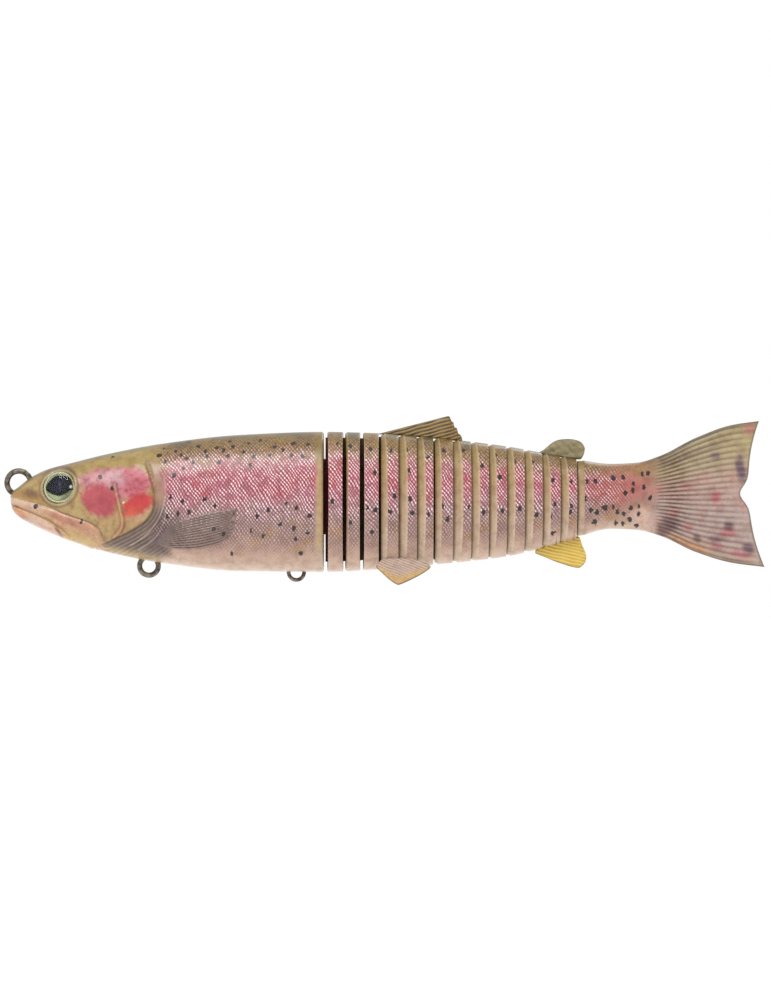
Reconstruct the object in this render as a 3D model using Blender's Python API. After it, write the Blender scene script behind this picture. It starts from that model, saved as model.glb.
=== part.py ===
"""Sliced swimbait: a hard two-shell head and a rear half of fourteen slices threaded on a fabric spine.

Metres, +Z up. The origin is the centre of the line-tie ring on the snout, +X runs to the tail,
and the Y = 0 plane is the fish's mid-plane. The fish's left flank faces -Y.
"""

import math

import bmesh
import bpy
from mathutils import Matrix, Vector

MM = 0.001

# Overall body
BODY_LENGTH = 215.0 * MM  # snout to the tips of the tail fin
BODY_DEPTH = 40.0 * MM
BODY_WIDTH = 25.0 * MM
NOSE_X = -2.5 * MM
AXIS_Z = -4.3 * MM  # height of the line from the snout to the fork of the tail
SECTION_POWER = 2.2  # 2 is an ellipse, more is squarer
HEAD_LENGTH = 89.4 * MM  # snout to the rear edge of the two shells

# Slices and the V-cuts between them
SLICE_COUNT = 14
SLICE_THICKNESS = 4.085 * MM  # at the mid-plane
SLICE_GAP = 1.0 * MM  # at the mid-plane
CUT_ANGLE_FRONT = math.radians(2.5)  # how far a slice's front face leans back
CUT_ANGLE = math.radians(6.7)
FRONT_CUTS = 3  # the first cuts are the narrow ones

# Fabric spine
WEB_THICKNESS = 0.8 * MM
WEB_BELOW_BACK = 1.6 * MM
WEB_ABOVE_BELLY = 2.9 * MM
WEB_IN_TAIL = 9.0 * MM
TAB_LENGTH = 14.0 * MM  # of the web's tab inside the head
TAB_BELOW_BACK = 7.7 * MM
TAB_ABOVE_BELLY = 10.7 * MM
CLEARANCE = 0.3 * MM  # between any two pieces that touch

# Head shells
SEAM = 0.3 * MM
WALL = 1.8 * MM
FIRST_CHAMBER = 21.3 * MM  # from the snout, and the solid nose before it
RIB_THICKNESS = 2.0 * MM
RIBS = (28.0 * MM, 46.5 * MM, 60.5 * MM, 72.5 * MM)  # centres, from the snout
POST_SHARE = 0.55  # a post ends this share of the way through the wall
PEG_RADIUS = 1.1 * MM
PEG_REACH = 1.6 * MM  # past the seam
PEG_BOSS_RADIUS = 2.4 * MM
PEGS = ((36.0 * MM, 3.0 * MM), (66.0 * MM, 6.5 * MM))  # from the snout, above the axis

# Moulded eyes
EYE_RADIUS = 4.6 * MM
EYE_CENTRE = (12.2 * MM, -1.45 * MM)
EYE_DISC_THICKNESS = 1.2 * MM
EYE_DOME_HEIGHT = 1.0 * MM
EYE_PROUD = 0.2 * MM  # rim of the lens above the head's skin
EYE_LEAN = 0.65  # share of the skin's own lean that the eye takes
LENS_EDGE = 0.4 * MM  # thickness of the lens at its rim
POCKET_RADIUS = EYE_RADIUS + CLEARANCE

# Line tie: a ring outside the snout and a smaller loop on a post inside
TIE_WIRE = 0.85 * MM  # radius
TIE_RING = 3.35 * MM  # radius to the middle of the wire
TIE_ANCHOR_LOOP = 2.3 * MM
TIE_ANCHOR = (4.8 * MM, -6.4 * MM)

# Hook hangers: a loop under the belly and a smaller loop on a post inside
FRONT_HANGER_X = 37.1 * MM
FRONT_HANGER_DROP = 1.45 * MM  # loop centre below the belly
FRONT_HANGER_WIRE = 0.75 * MM
FRONT_HANGER_RING = 2.65 * MM
REAR_HANGER_X = 79.1 * MM
REAR_HANGER_DROP = 0.1 * MM
REAR_HANGER_WIRE = 0.55 * MM
REAR_HANGER_RING = 2.2 * MM
HANGER_ANCHOR_LOOP = 1.9 * MM
RECESS_DEPTH = 0.7 * MM  # of the hollow in the belly inside the rear loop
RECESS_WIDTH = 2.4 * MM
HANGER_RISE = 6.6 * MM  # between the two loops' centres

# Ballast bars in the belly
BALLAST = (
    ("ballast_front", 20.0 * MM, 31.0 * MM, 3.0 * MM),
    ("ballast_rear", 42.0 * MM, 72.0 * MM, 3.6 * MM),
)
BALLAST_CHAMFER = 1.0 * MM

# Pins that hold the web's tab in the head
PIN_RADIUS = 1.0 * MM
PIN_REACH = 6.0 * MM  # each side of the mid-plane
PIN_BOSS_RADIUS = 2.3 * MM
PIN_INSET = 4.75 * MM  # from the tab's top and bottom edges
PIN_SETBACK = 8.0 * MM  # in front of the head's rear edge

# Tail and fins
TAIL_EDGE = 0.45 * MM  # least half thickness
NOTCH_DEPTH = 2.6 * MM
NOTCH_SHARE = 0.15  # of half the fin's height
TIP_RAKE = 4.4 * MM
UPPER_TIP_SHORT = 1.6 * MM
FIN_THICKNESS = 1.2 * MM
DORSAL_HEIGHT = 6.6 * MM
ADIPOSE_HEIGHT = 5.0 * MM
ANAL_DEPTH = 5.6 * MM
PELVIC_DEPTH = 7.2 * MM
PELVIC_LENGTH = 15.2 * MM
PELVIC_SPLAY = math.radians(24)
PELVIC_OFF_CENTRE = 6.2 * MM  # where its base meets the skin

# Body outline: share of the length, then the back's height and the belly's drop from the axis as
# shares of the depth, then the half width as a share of half the width
OUTLINE = (
    (0.000, 0.000, 0.000, 0.00),
    (0.003, 0.036, 0.084, 0.13),
    (0.011, 0.069, 0.138, 0.29),
    (0.027, 0.136, 0.190, 0.45),
    (0.050, 0.196, 0.249, 0.59),
    (0.082, 0.242, 0.317, 0.73),
    (0.130, 0.306, 0.394, 0.86),
    (0.201, 0.378, 0.470, 0.96),
    (0.302, 0.440, 0.528, 1.00),
    (0.416, 0.463, 0.535, 0.98),
    (0.480, 0.455, 0.520, 0.93),
    (0.558, 0.424, 0.485, 0.83),
    (0.655, 0.362, 0.428, 0.69),
    (0.735, 0.285, 0.320, 0.54),
    (0.798, 0.235, 0.228, 0.42),
    (0.830, 0.243, 0.235, 0.36),
    (0.862, 0.293, 0.278, 0.24),
    (0.909, 0.420, 0.393, 0.12),
    (0.957, 0.512, 0.470, 0.08),
    (1.000, 0.545, 0.500, 0.06),
)

HEAD_REAR = NOSE_X + HEAD_LENGTH
PITCH = SLICE_THICKNESS + SLICE_GAP
TAIL_FRONT = HEAD_REAR + SLICE_GAP + SLICE_COUNT * PITCH
TAIL_END = NOSE_X + BODY_LENGTH
ALONG_Y = Matrix.Rotation(-math.pi / 2, 4, "X")  # turns a shape made along +Z to lie along +Y
ALONG_X = Matrix.Rotation(math.pi / 2, 4, "Y")


# The body's outline and sections

def outline(x, column):
    """Smooth curve through OUTLINE that never swings past its points (cubic with limited slopes)."""
    share = min(max((x - NOSE_X) / BODY_LENGTH, 0.0), 1.0)
    last = len(OUTLINE) - 2
    k = min(max(i for i in range(last + 1) if OUTLINE[i][0] <= share), last)

    def rise(i):
        return (OUTLINE[i + 1][column] - OUTLINE[i][column]) / (OUTLINE[i + 1][0] - OUTLINE[i][0])

    def slope(i):
        if i == 0:
            return rise(0)
        if i == last + 1:
            return rise(last)
        before, after = rise(i - 1), rise(i)
        return 0.0 if before * after <= 0 else 2 * before * after / (before + after)

    width = OUTLINE[k + 1][0] - OUTLINE[k][0]
    t = (share - OUTLINE[k][0]) / width
    return (
        OUTLINE[k][column] * (1 + 2 * t) * (1 - t) ** 2
        + OUTLINE[k + 1][column] * t * t * (3 - 2 * t)
        + slope(k) * width * t * (1 - t) ** 2
        - slope(k + 1) * width * t * t * (1 - t)
    )


def back(x):
    return AXIS_Z + BODY_DEPTH * outline(x, 1)


def belly(x):
    return AXIS_Z - BODY_DEPTH * outline(x, 2)


def half_width(x):
    return BODY_WIDTH / 2 * outline(x, 3)


def skin_y(x, z):
    """Half width of the body's section at height z."""
    middle = (back(x) + belly(x)) / 2
    share = min(abs(z - middle) / ((back(x) - belly(x)) / 2), 1.0)
    return half_width(x) * (1 - share**SECTION_POWER) ** (1 / SECTION_POWER)


def section(x, angle, inset=0.0):
    """(y, z) on the section at x, as a squared-off ellipse, moved in by inset."""
    middle = (back(x) + belly(x)) / 2
    high = (back(x) - belly(x)) / 2 - inset
    wide = half_width(x) - inset
    c, s = math.cos(angle), math.sin(angle)
    y = math.copysign(abs(c) ** (2 / SECTION_POWER), c) * wide
    return y, middle + math.copysign(abs(s) ** (2 / SECTION_POWER), s) * high


# Objects and materials

def material(name, colour, roughness, metallic=0.0):
    made = bpy.data.materials.new(name)
    made.use_nodes = True
    shader = made.node_tree.nodes["Principled BSDF"]
    shader.inputs["Base Color"].default_value = (*colour, 1.0)
    shader.inputs["Roughness"].default_value = roughness
    shader.inputs["Metallic"].default_value = metallic
    return made


def add_object(name, mesh_maker, finish, sharp=40):
    """An object of the bmesh's shape, its faces turned out and its round stretches shaded smooth."""
    bmesh.ops.recalc_face_normals(mesh_maker, faces=mesh_maker.faces)
    mesh = bpy.data.meshes.new(name)
    mesh_maker.to_mesh(mesh)
    mesh_maker.free()
    mesh.shade_smooth()
    mesh.set_sharp_from_angle(angle=math.radians(sharp))
    made = bpy.data.objects.new(name, mesh)
    bpy.context.scene.collection.objects.link(made)
    if finish:
        mesh.materials.append(finish)
    return made


def add_cutter(name, mesh_maker):
    made = add_object(name, mesh_maker, None)
    made.hide_render = True
    made.display_type = "WIRE"
    return made


def combine(target, cutter, operation):
    modifier = target.modifiers.new(cutter.name, "BOOLEAN")
    modifier.operation = operation
    modifier.solver = "EXACT"
    modifier.object = cutter


def set_origin(made, place):
    """Puts the object's origin on place, and leaves its shape where it is."""
    made.data.transform(Matrix.Translation(-Vector(place)))
    made.location = place


def bridge(shape, first, second):
    """Quads between two closed rings of the same number of vertices."""
    for i in range(len(first)):
        k = (i + 1) % len(first)
        shape.faces.new((first[i], first[k], second[k], second[i]))


def turned(shape, profile, segments, place):
    """A solid turned about Z from (height, radius) points, closed to a point at both ends."""
    rings = []
    for height, radius in profile:
        if radius == 0:
            rings.append([shape.verts.new(place @ Vector((0, 0, height)))])
            continue
        turn = 2 * math.pi / segments
        rings.append([
            shape.verts.new(
                place @ Vector((radius * math.cos(turn * k), radius * math.sin(turn * k), height))
            )
            for k in range(segments)
        ])
    for first, second in zip(rings, rings[1:]):
        if len(first) == 1 or len(second) == 1:
            tip, ring = (first[0], second) if len(first) == 1 else (second[0], first)
            for k in range(segments):
                shape.faces.new((tip, ring[k], ring[(k + 1) % segments]))
        else:
            bridge(shape, first, second)


def plate(shape, outline_points, thickness, place):
    """A flat plate with this (x, z) outline, of even thickness about Y = 0."""
    sides = [
        [shape.verts.new(place @ Vector((x, y, z))) for x, z in outline_points]
        for y in (-thickness / 2, thickness / 2)
    ]
    bridge(shape, *sides)
    shape.faces.new(sides[0])
    shape.faces.new(reversed(sides[1]))


def curve_points(points, steps):
    """A smooth line through (x, z) points, steps to each stretch (Catmull-Rom)."""
    ends = [points[0], *points, points[-1]]
    line = []
    for a, b, c, d in zip(ends, ends[1:], ends[2:], ends[3:]):
        for k in range(steps):
            t = k / steps
            line.append(tuple(
                ((2 * q) + (r - p) * t + (2 * p - 5 * q + 4 * r - s) * t * t
                 + (3 * q - p - 3 * r + s) * t**3) / 2
                for p, q, r, s in zip(a, b, c, d)
            ))
    return [*line, points[-1]]


# Head shells

def half_loft(shape, side, x_from, x_to, stations, inset, closed_nose, points=13):
    """One side of the body between two places, flat on the seam and closed at both ends."""
    rings = []
    for k in range(stations):
        share = k / (stations - 1)
        if closed_nose:
            share = 0.02 + 0.98 * share**1.7  # closer together where the snout rounds off
        x = x_from + (x_to - x_from) * share
        ring = []
        for i in range(points):
            y, z = section(x, math.pi * (i / (points - 1) - 0.5), inset)
            ring.append(shape.verts.new((x, side * max(y, SEAM / 2), z)))
        rings.append(ring)
    for first, second in zip(rings, rings[1:]):
        bridge(shape, first, second)
    shape.faces.new(reversed(rings[-1]))
    if closed_nose:
        nose = shape.verts.new((x_from, side * SEAM / 2, AXIS_Z))
        for i in range(points):
            shape.faces.new((nose, rings[0][i], rings[0][(i + 1) % points]))
    else:
        shape.faces.new(rings[0])


def across(side, x, z, start):
    """Places a shape made along +Z so that it starts at this distance from the mid-plane."""
    turn = ALONG_Y if side > 0 else Matrix.Rotation(math.pi / 2, 4, "X")
    return Matrix.Translation((x, side * start, z)) @ turn


def rod(length, radius, start=0.0):
    return ((start, 0), (start, radius), (start + length, radius), (start + length, 0))


def eye_place(side):
    """The frame of an eye: its centre on the head's skin, and +Z out, leaning as the skin does."""
    x, z = EYE_CENTRE
    step = 1.0 * MM
    lean = (skin_y(x + step, z) - skin_y(x - step, z)) / (2 * step)
    tilt = (skin_y(x, z + step) - skin_y(x, z - step)) / (2 * step)
    normal = Vector((-lean * EYE_LEAN, side, -tilt * EYE_LEAN)).normalized()
    turn = normal.to_track_quat("Z", "Y").to_matrix().to_4x4()
    return Matrix.Translation((x, side * skin_y(x, z), z)) @ turn


def post_radius(loop, wire):
    return loop - wire - CLEARANCE


def hanger_centres(x, drop):
    lower = belly(x) - drop
    return (x, lower), (x, lower + HANGER_RISE)


def figure_eight(ring_centre, ring, anchor_centre, anchor, wire, steps=34):
    """Points round two loops joined by a narrow waist; the half width at each place is a smooth
    maximum of the two circles' and of the waist's."""
    a, b = Vector(ring_centre), Vector(anchor_centre)
    reach = (b - a).length
    along = (b - a) / reach
    beside = Vector((along.y, -along.x))
    waist = wire + 1.5 * CLEARANCE

    def spread(at):
        one = max(ring**2 - at**2, 0.0) ** 0.5
        two = max(anchor**2 - (at - reach) ** 2, 0.0) ** 0.5
        neck = waist if 0 < at < reach else 0.0
        return (one**5 + two**5 + neck**5) ** 0.2

    points = []
    for k in range(steps):
        angle = 2 * math.pi * (k + 0.5) / steps
        share = (1 - math.cos(angle)) / 2
        at = -ring + (ring + reach + anchor) * share
        points.append(a + along * at + beside * math.copysign(spread(at), math.sin(angle)))
    return points


def wire_loop(shape, points, radius):
    """A closed wire along (x, z) points on the mid-plane. Its section is an octagon with flats."""
    rings = []
    corner = radius / math.cos(math.pi / 8)
    for k, point in enumerate(points):
        before = (point - points[k - 1]).normalized()
        after = (points[(k + 1) % len(points)] - point).normalized()
        middle = (before + after).normalized()
        out = Vector((middle.y, -middle.x)) / max(middle.dot(after), 0.5)
        rings.append([])
        for i in range(8):
            angle = math.pi * (i + 0.5) / 4
            x, z = point + out * corner * math.cos(angle)
            rings[-1].append(shape.verts.new((x, corner * math.sin(angle), z)))
    for k in range(len(rings)):
        bridge(shape, rings[k - 1], rings[k])


FRONT_HANGER = hanger_centres(FRONT_HANGER_X, FRONT_HANGER_DROP)
REAR_HANGER = hanger_centres(REAR_HANGER_X, REAR_HANGER_DROP)
WIRES = (
    ("line_tie", (0.0, 0.0), TIE_RING, TIE_ANCHOR, TIE_ANCHOR_LOOP, TIE_WIRE),
    ("hook_hanger_front", FRONT_HANGER[0], FRONT_HANGER_RING, FRONT_HANGER[1],
     HANGER_ANCHOR_LOOP, FRONT_HANGER_WIRE),
    ("hook_hanger_rear", REAR_HANGER[0], REAR_HANGER_RING, REAR_HANGER[1],
     HANGER_ANCHOR_LOOP, REAR_HANGER_WIRE),
)
PIN_X = HEAD_REAR - PIN_SETBACK
TAB_TOP = back(HEAD_REAR) - TAB_BELOW_BACK
TAB_BOTTOM = belly(HEAD_REAR) + TAB_ABOVE_BELLY
PIN_HEIGHTS = (("spine_pin_upper", TAB_TOP - PIN_INSET), ("spine_pin_lower", TAB_BOTTOM + PIN_INSET))


def ballast_height(x_from, x_to, radius):
    """Height of a bar's middle, so that it clears the belly's inner wall at both ends."""
    floor = max(belly(x_from), belly(x_to))
    return floor + WALL + radius + 2 * CLEARANCE


def web_outline(grow):
    """The fabric's outline, grown by this much: tab, then the long strip to the tail."""
    tab_x = HEAD_REAR - TAB_LENGTH - grow
    step_x = HEAD_REAR + SLICE_GAP / 2 - grow
    end_x = TAIL_FRONT + WEB_IN_TAIL + grow
    count = 12
    along = [step_x + (end_x - step_x) * k / count for k in range(count + 1)]
    low = [(x, belly(x) + WEB_ABOVE_BELLY - grow) for x in along]
    high = [(x, back(x) - WEB_BELOW_BACK + grow) for x in along]
    return [
        (tab_x, TAB_TOP + grow), (tab_x, TAB_BOTTOM - grow), (step_x, TAB_BOTTOM - grow),
        *low, *reversed(high), (step_x, TAB_TOP + grow),
    ]


def peg_boss(side, length):
    """The left shell's boss ends in a peg past the seam, the right one's is plain."""
    boss = ((SEAM / 2, PEG_BOSS_RADIUS), (length, PEG_BOSS_RADIUS), (length, 0))
    if side > 0:
        return ((SEAM / 2, 0), *boss)
    return ((-PEG_REACH, 0), (-PEG_REACH, PEG_RADIUS), (SEAM / 2, PEG_RADIUS), *boss)


def shell_posts(side):
    """Posts in the hangers' inner loops and bosses for the pins and pegs, from seam to wall. The
    line tie's inner loop needs no post, because the nose around it is solid."""
    shape = bmesh.new()
    posts = [
        (anchor[0], anchor[1], post_radius(loop, wire))
        for _, _, _, anchor, loop, wire in WIRES[1:]
    ]
    posts += [(PIN_X, z, PIN_BOSS_RADIUS) for _, z in PIN_HEIGHTS]
    for x, z, radius in posts:
        length = skin_y(x, z) - WALL * POST_SHARE - SEAM / 2
        turned(shape, rod(length, radius), 16, across(side, x, z, SEAM / 2))
    for x, z in ((NOSE_X + x, AXIS_Z + z) for x, z in PEGS):
        length = skin_y(x, z) - WALL * POST_SHARE
        turned(shape, peg_boss(side, length), 16, across(side, x, z, 0.0))
    return shape


def shell_cuts(side):
    """What is cut from a shell after its posts are in, as one shape per kind of cut."""
    for name, ring_centre, ring, anchor_centre, anchor, wire in WIRES:
        shape = bmesh.new()
        path = figure_eight(ring_centre, ring, anchor_centre, anchor, wire)
        wire_loop(shape, path, wire + CLEARANCE)
        yield name, shape
    shape = bmesh.new()
    for _, x_from, x_to, radius in BALLAST:
        bar = rod(x_to - x_from + 2 * CLEARANCE, radius + CLEARANCE)
        height = ballast_height(x_from, x_to, radius)
        turned(shape, bar, 20, Matrix.Translation((x_from - CLEARANCE, 0, height)) @ ALONG_X)
    yield "ballast", shape
    shape = bmesh.new()
    slot = WEB_THICKNESS + 2 * CLEARANCE
    plate(shape, web_outline(CLEARANCE), slot, Matrix.Identity(4))
    yield "web", shape
    shape = bmesh.new()
    for _, z in PIN_HEIGHTS:
        pin_hole = rod(PIN_REACH + CLEARANCE, PIN_RADIUS + CLEARANCE)
        turned(shape, pin_hole, 16, across(side, PIN_X, z, 0.0))
    yield "pins", shape
    shape = bmesh.new()
    x, low = REAR_HANGER_X, belly(REAR_HANGER_X)
    reach = REAR_HANGER_RING - REAR_HANGER_WIRE / 2
    top, bottom = low + RECESS_DEPTH, low - RECESS_DEPTH
    hollow = ((x - reach, bottom), (x - reach, top), (x + reach, top), (x + reach, bottom))
    plate(shape, hollow, RECESS_WIDTH, Matrix.Identity(4))
    yield "recess", shape
    if side > 0:
        shape = bmesh.new()
        for x, z in PEGS:
            socket = rod(PEG_REACH + 2 * CLEARANCE, PEG_RADIUS + CLEARANCE)
            turned(shape, socket, 16, across(side, NOSE_X + x, AXIS_Z + z, 0.0))
        yield "sockets", shape
    shape = bmesh.new()
    depth = EYE_DISC_THICKNESS + LENS_EDGE + 2 * CLEARANCE - EYE_PROUD
    turned(shape, rod(4 * depth, POCKET_RADIUS, -depth), 24, eye_place(side))
    yield "eye", shape


def head_shell(name, side, finish):
    shape = bmesh.new()
    half_loft(shape, side, NOSE_X, HEAD_REAR, 22, 0.0, True)
    shell = add_object(name, shape, finish)
    chambers = bmesh.new()
    starts = [FIRST_CHAMBER, *(rib + RIB_THICKNESS / 2 for rib in RIBS)]
    ends = [*(rib - RIB_THICKNESS / 2 for rib in RIBS), HEAD_LENGTH - WALL]
    for start, end in zip(starts, ends):
        half_loft(chambers, side, NOSE_X + start, NOSE_X + end, 4, WALL, False)
    combine(shell, add_cutter(f"cut_chambers_{name}", chambers), "DIFFERENCE")
    combine(shell, add_cutter(f"add_posts_{name}", shell_posts(side)), "UNION")
    for kind, cut in shell_cuts(side):
        combine(shell, add_cutter(f"cut_{kind}_{name}", cut), "DIFFERENCE")
    return shell


# Eyes, pins and ballast

def eye(side_name, side, disc_finish, lens_finish):
    """A printed disc at the bottom of its pocket, and a clear dome over it."""
    rim = EYE_PROUD
    disc_top = rim - CLEARANCE - LENS_EDGE
    shape = bmesh.new()
    bottom = disc_top - EYE_DISC_THICKNESS
    turned(shape, rod(EYE_DISC_THICKNESS, EYE_RADIUS, bottom), 32, eye_place(side))
    add_object(f"eye_disc_{side_name}", shape, disc_finish)
    base = disc_top + CLEARANCE
    profile = [(base, 0), (base, EYE_RADIUS)]
    for k in range(6):
        angle = math.pi / 2 * k / 6
        profile.append((rim + EYE_DOME_HEIGHT * math.sin(angle), EYE_RADIUS * math.cos(angle)))
    profile.append((rim + EYE_DOME_HEIGHT, 0))
    shape = bmesh.new()
    turned(shape, profile, 32, eye_place(side))
    add_object(f"eye_lens_{side_name}", shape, lens_finish)


def ballast_bar(name, x_from, x_to, radius, finish):
    length = x_to - x_from
    profile = (
        (0, 0), (0, radius - BALLAST_CHAMFER), (BALLAST_CHAMFER, radius),
        (length - BALLAST_CHAMFER, radius), (length, radius - BALLAST_CHAMFER), (length, 0),
    )
    shape = bmesh.new()
    height = ballast_height(x_from, x_to, radius)
    turned(shape, profile, 20, Matrix.Translation((x_from, 0, height)) @ ALONG_X)
    add_object(name, shape, finish)


def spine_pin(name, height, finish):
    shape = bmesh.new()
    turned(shape, rod(2 * PIN_REACH, PIN_RADIUS, -PIN_REACH), 16, across(1, PIN_X, height, 0.0))
    add_object(name, shape, finish)


def spine_web(finish):
    shape = bmesh.new()
    plate(shape, web_outline(0.0), WEB_THICKNESS, Matrix.Identity(4))
    web = add_object("spine_web", shape, finish)
    holes = bmesh.new()
    for _, z in PIN_HEIGHTS:
        hole = rod(4 * WEB_THICKNESS, PIN_RADIUS + CLEARANCE, -2 * WEB_THICKNESS)
        turned(holes, hole, 16, across(1, PIN_X, z, 0.0))
    combine(web, add_cutter("cut_pin_holes", holes), "DIFFERENCE")


# Slices

def joint_x(number):
    """Where a slice hinges on the piece in front of it: the middle of the gap."""
    return HEAD_REAR + SLICE_GAP / 2 + (number - 1) * PITCH


def cut_angle(number):
    return CUT_ANGLE_FRONT if number <= FRONT_CUTS else CUT_ANGLE


def body_slice(number, finish, points=40):
    """A ring round the web: front face leaning back to the flanks, rear face flat."""
    front = joint_x(number) + SLICE_GAP / 2
    rear = front + SLICE_THICKNESS
    lean = math.tan(cut_angle(number))
    slot_y = WEB_THICKNESS / 2 + CLEARANCE
    steepest = math.sin(math.pi * (0.5 - 1 / points))
    shape = bmesh.new()
    outer = {"front": [], "rear": []}
    inner = {"front": [], "rear": []}
    for k in range(points):
        angle = 2 * math.pi * (k + 0.5) / points
        for end, at, slope in (("front", front, lean), ("rear", rear, 0.0)):
            y, _ = section(at, angle)
            x = at + abs(y) * slope
            outer[end].append(shape.verts.new((x, *section(x, angle))))
            high = back(at) - WEB_BELOW_BACK + CLEARANCE
            low = belly(at) + WEB_ABOVE_BELLY - CLEARANCE
            z = (high + low) / 2 + (high - low) / 2 * math.sin(angle) / steepest
            y = math.copysign(slot_y, math.cos(angle))
            inner[end].append(shape.verts.new((at + slot_y * slope, y, z)))
    bridge(shape, outer["front"], outer["rear"])
    bridge(shape, outer["rear"], inner["rear"])
    bridge(shape, inner["rear"], inner["front"])
    bridge(shape, inner["front"], outer["front"])
    made = add_object(f"slice_{number:02d}", shape, finish)
    set_origin(made, (joint_x(number), 0, 0))


# Tail

def fork(t):
    """How far the tail fin's rear edge lies in front of its lower tip, at t from -1 to 1 up the
    fin: a narrow notch in the middle, raked tips, and an upper tip a little shorter."""
    notch = NOTCH_DEPTH * math.exp(-((t / NOTCH_SHARE) ** 2))
    rake = TIP_RAKE * (1 - abs(t) ** 2.2)
    return notch + rake + UPPER_TIP_SHORT * max(t, 0.0)


def tail(finish):
    """The peduncle's sections, which flatten into the forked fin."""
    rows, columns = 17, 15
    number = SLICE_COUNT + 1
    lean = math.tan(cut_angle(number))
    shape = bmesh.new()
    rings = []
    for i in range(rows):
        share = (i / (rows - 1)) ** 1.1
        ring = []
        for side in (-1, 1):
            for j in range(columns):
                t = math.sin(math.pi * (j / (columns - 1) - 0.5)) * -side
                start = TAIL_FRONT
                x = start + (TAIL_END - fork(t) - start) * share
                high, low = back(x), belly(x)
                z = (high + low) / 2 + (high - low) / 2 * t
                y = half_width(x) * (1 - abs(t) ** SECTION_POWER) ** (1 / SECTION_POWER)
                y = max(y, TAIL_EDGE)
                if i == 0:
                    x = start + y * lean
                ring.append(shape.verts.new((x, side * y, z)))
        rings.append(ring)
    for first, second in zip(rings, rings[1:]):
        bridge(shape, first, second)
    for ring in (rings[0], rings[-1]):
        for j in range(columns - 1):
            opposite = 2 * columns - 1 - j
            shape.faces.new((ring[j], ring[j + 1], ring[opposite - 1], ring[opposite]))
    made = add_object("tail", shape, finish)
    slot = bmesh.new()
    plate(slot, web_outline(CLEARANCE), WEB_THICKNESS + 2 * CLEARANCE, Matrix.Identity(4))
    cutter = add_cutter("cut_web_tail", slot)
    combine(made, cutter, "DIFFERENCE")
    set_origin(made, (joint_x(number), 0, 0))


# Soft fins

def slice_front(number):
    return joint_x(number) + SLICE_GAP / 2


def seated(points, base_of):
    """Closes a fin's free edge with a base that follows the body at the clearance."""
    first, last = points[0][0], points[-1][0]
    count = 10
    base = [last + (first - last) * k / count for k in range(count + 1)]
    return [*points, *((x, base_of(x)) for x in base)]


def dorsal_fin(finish):
    """A long low sail over slices 4 to 8, highest near its rear edge."""
    front, rear = slice_front(4) - 1.0 * MM, slice_front(8) + 2.8 * MM
    length = rear - front
    edge = [
        (front, back(front) + 0.7 * MM),
        (front + 0.35 * length, back(front) + 0.36 * DORSAL_HEIGHT),
        (front + 0.70 * length, back(front) + 0.66 * DORSAL_HEIGHT),
        (front + 0.86 * length, back(front) + 0.78 * DORSAL_HEIGHT),
        (front + 0.93 * length, back(rear) + 0.62 * DORSAL_HEIGHT),
        (rear, back(rear) + 0.7 * MM),
    ]
    shape = bmesh.new()
    points = seated(curve_points(edge, 3), lambda x: back(x) + CLEARANCE)
    plate(shape, points, FIN_THICKNESS, Matrix.Identity(4))
    set_origin(add_object("dorsal_fin", shape, finish), (joint_x(6), 0, back(joint_x(6))))


def adipose_fin(finish):
    """A rounded lobe over slices 13 and 14 that leans back over the tail's root."""
    front, rear = slice_front(13) + 0.2 * MM, TAIL_FRONT + 0.4 * MM
    length = rear - front
    edge = [
        (front, back(front) + 0.6 * MM),
        (front + 0.15 * length, back(front) + 0.66 * ADIPOSE_HEIGHT),
        (front + 0.42 * length, back(front) + 0.86 * ADIPOSE_HEIGHT),
        (front + 0.75 * length, back(rear) + 1.14 * ADIPOSE_HEIGHT),
        (rear + 1.6 * MM, back(rear) + 0.98 * ADIPOSE_HEIGHT),
        (rear + 2.1 * MM, back(rear) + 0.58 * ADIPOSE_HEIGHT),
        (rear, back(rear) + 0.7 * MM),
    ]
    shape = bmesh.new()
    points = seated(curve_points(edge, 3), lambda x: back(x) + CLEARANCE)
    plate(shape, points, FIN_THICKNESS, Matrix.Identity(4))
    set_origin(add_object("adipose_fin", shape, finish), (joint_x(14), 0, back(joint_x(14))))


def anal_fin(finish):
    """A blade under slices 12 to 14 with a rounded rear corner."""
    front, rear = slice_front(12) + 2.4 * MM, TAIL_FRONT - 0.4 * MM
    length = rear - front
    edge = [
        (front, belly(front) - 0.7 * MM),
        (front + 0.35 * length, belly(front) - 0.16 * ANAL_DEPTH),
        (front + 0.70 * length, belly(front) - 0.44 * ANAL_DEPTH),
        (front + 0.98 * length, belly(front) - 0.66 * ANAL_DEPTH),
        (rear + 2.6 * MM, belly(rear) - 1.20 * ANAL_DEPTH),
        (rear + 2.3 * MM, belly(rear) - 0.50 * ANAL_DEPTH),
        (rear, belly(rear) - 0.7 * MM),
    ]
    shape = bmesh.new()
    points = seated(curve_points(edge, 3), lambda x: belly(x) - CLEARANCE)
    plate(shape, points, FIN_THICKNESS, Matrix.Identity(4))
    set_origin(add_object("anal_fin", shape, finish), (joint_x(13), 0, belly(joint_x(13))))


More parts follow.
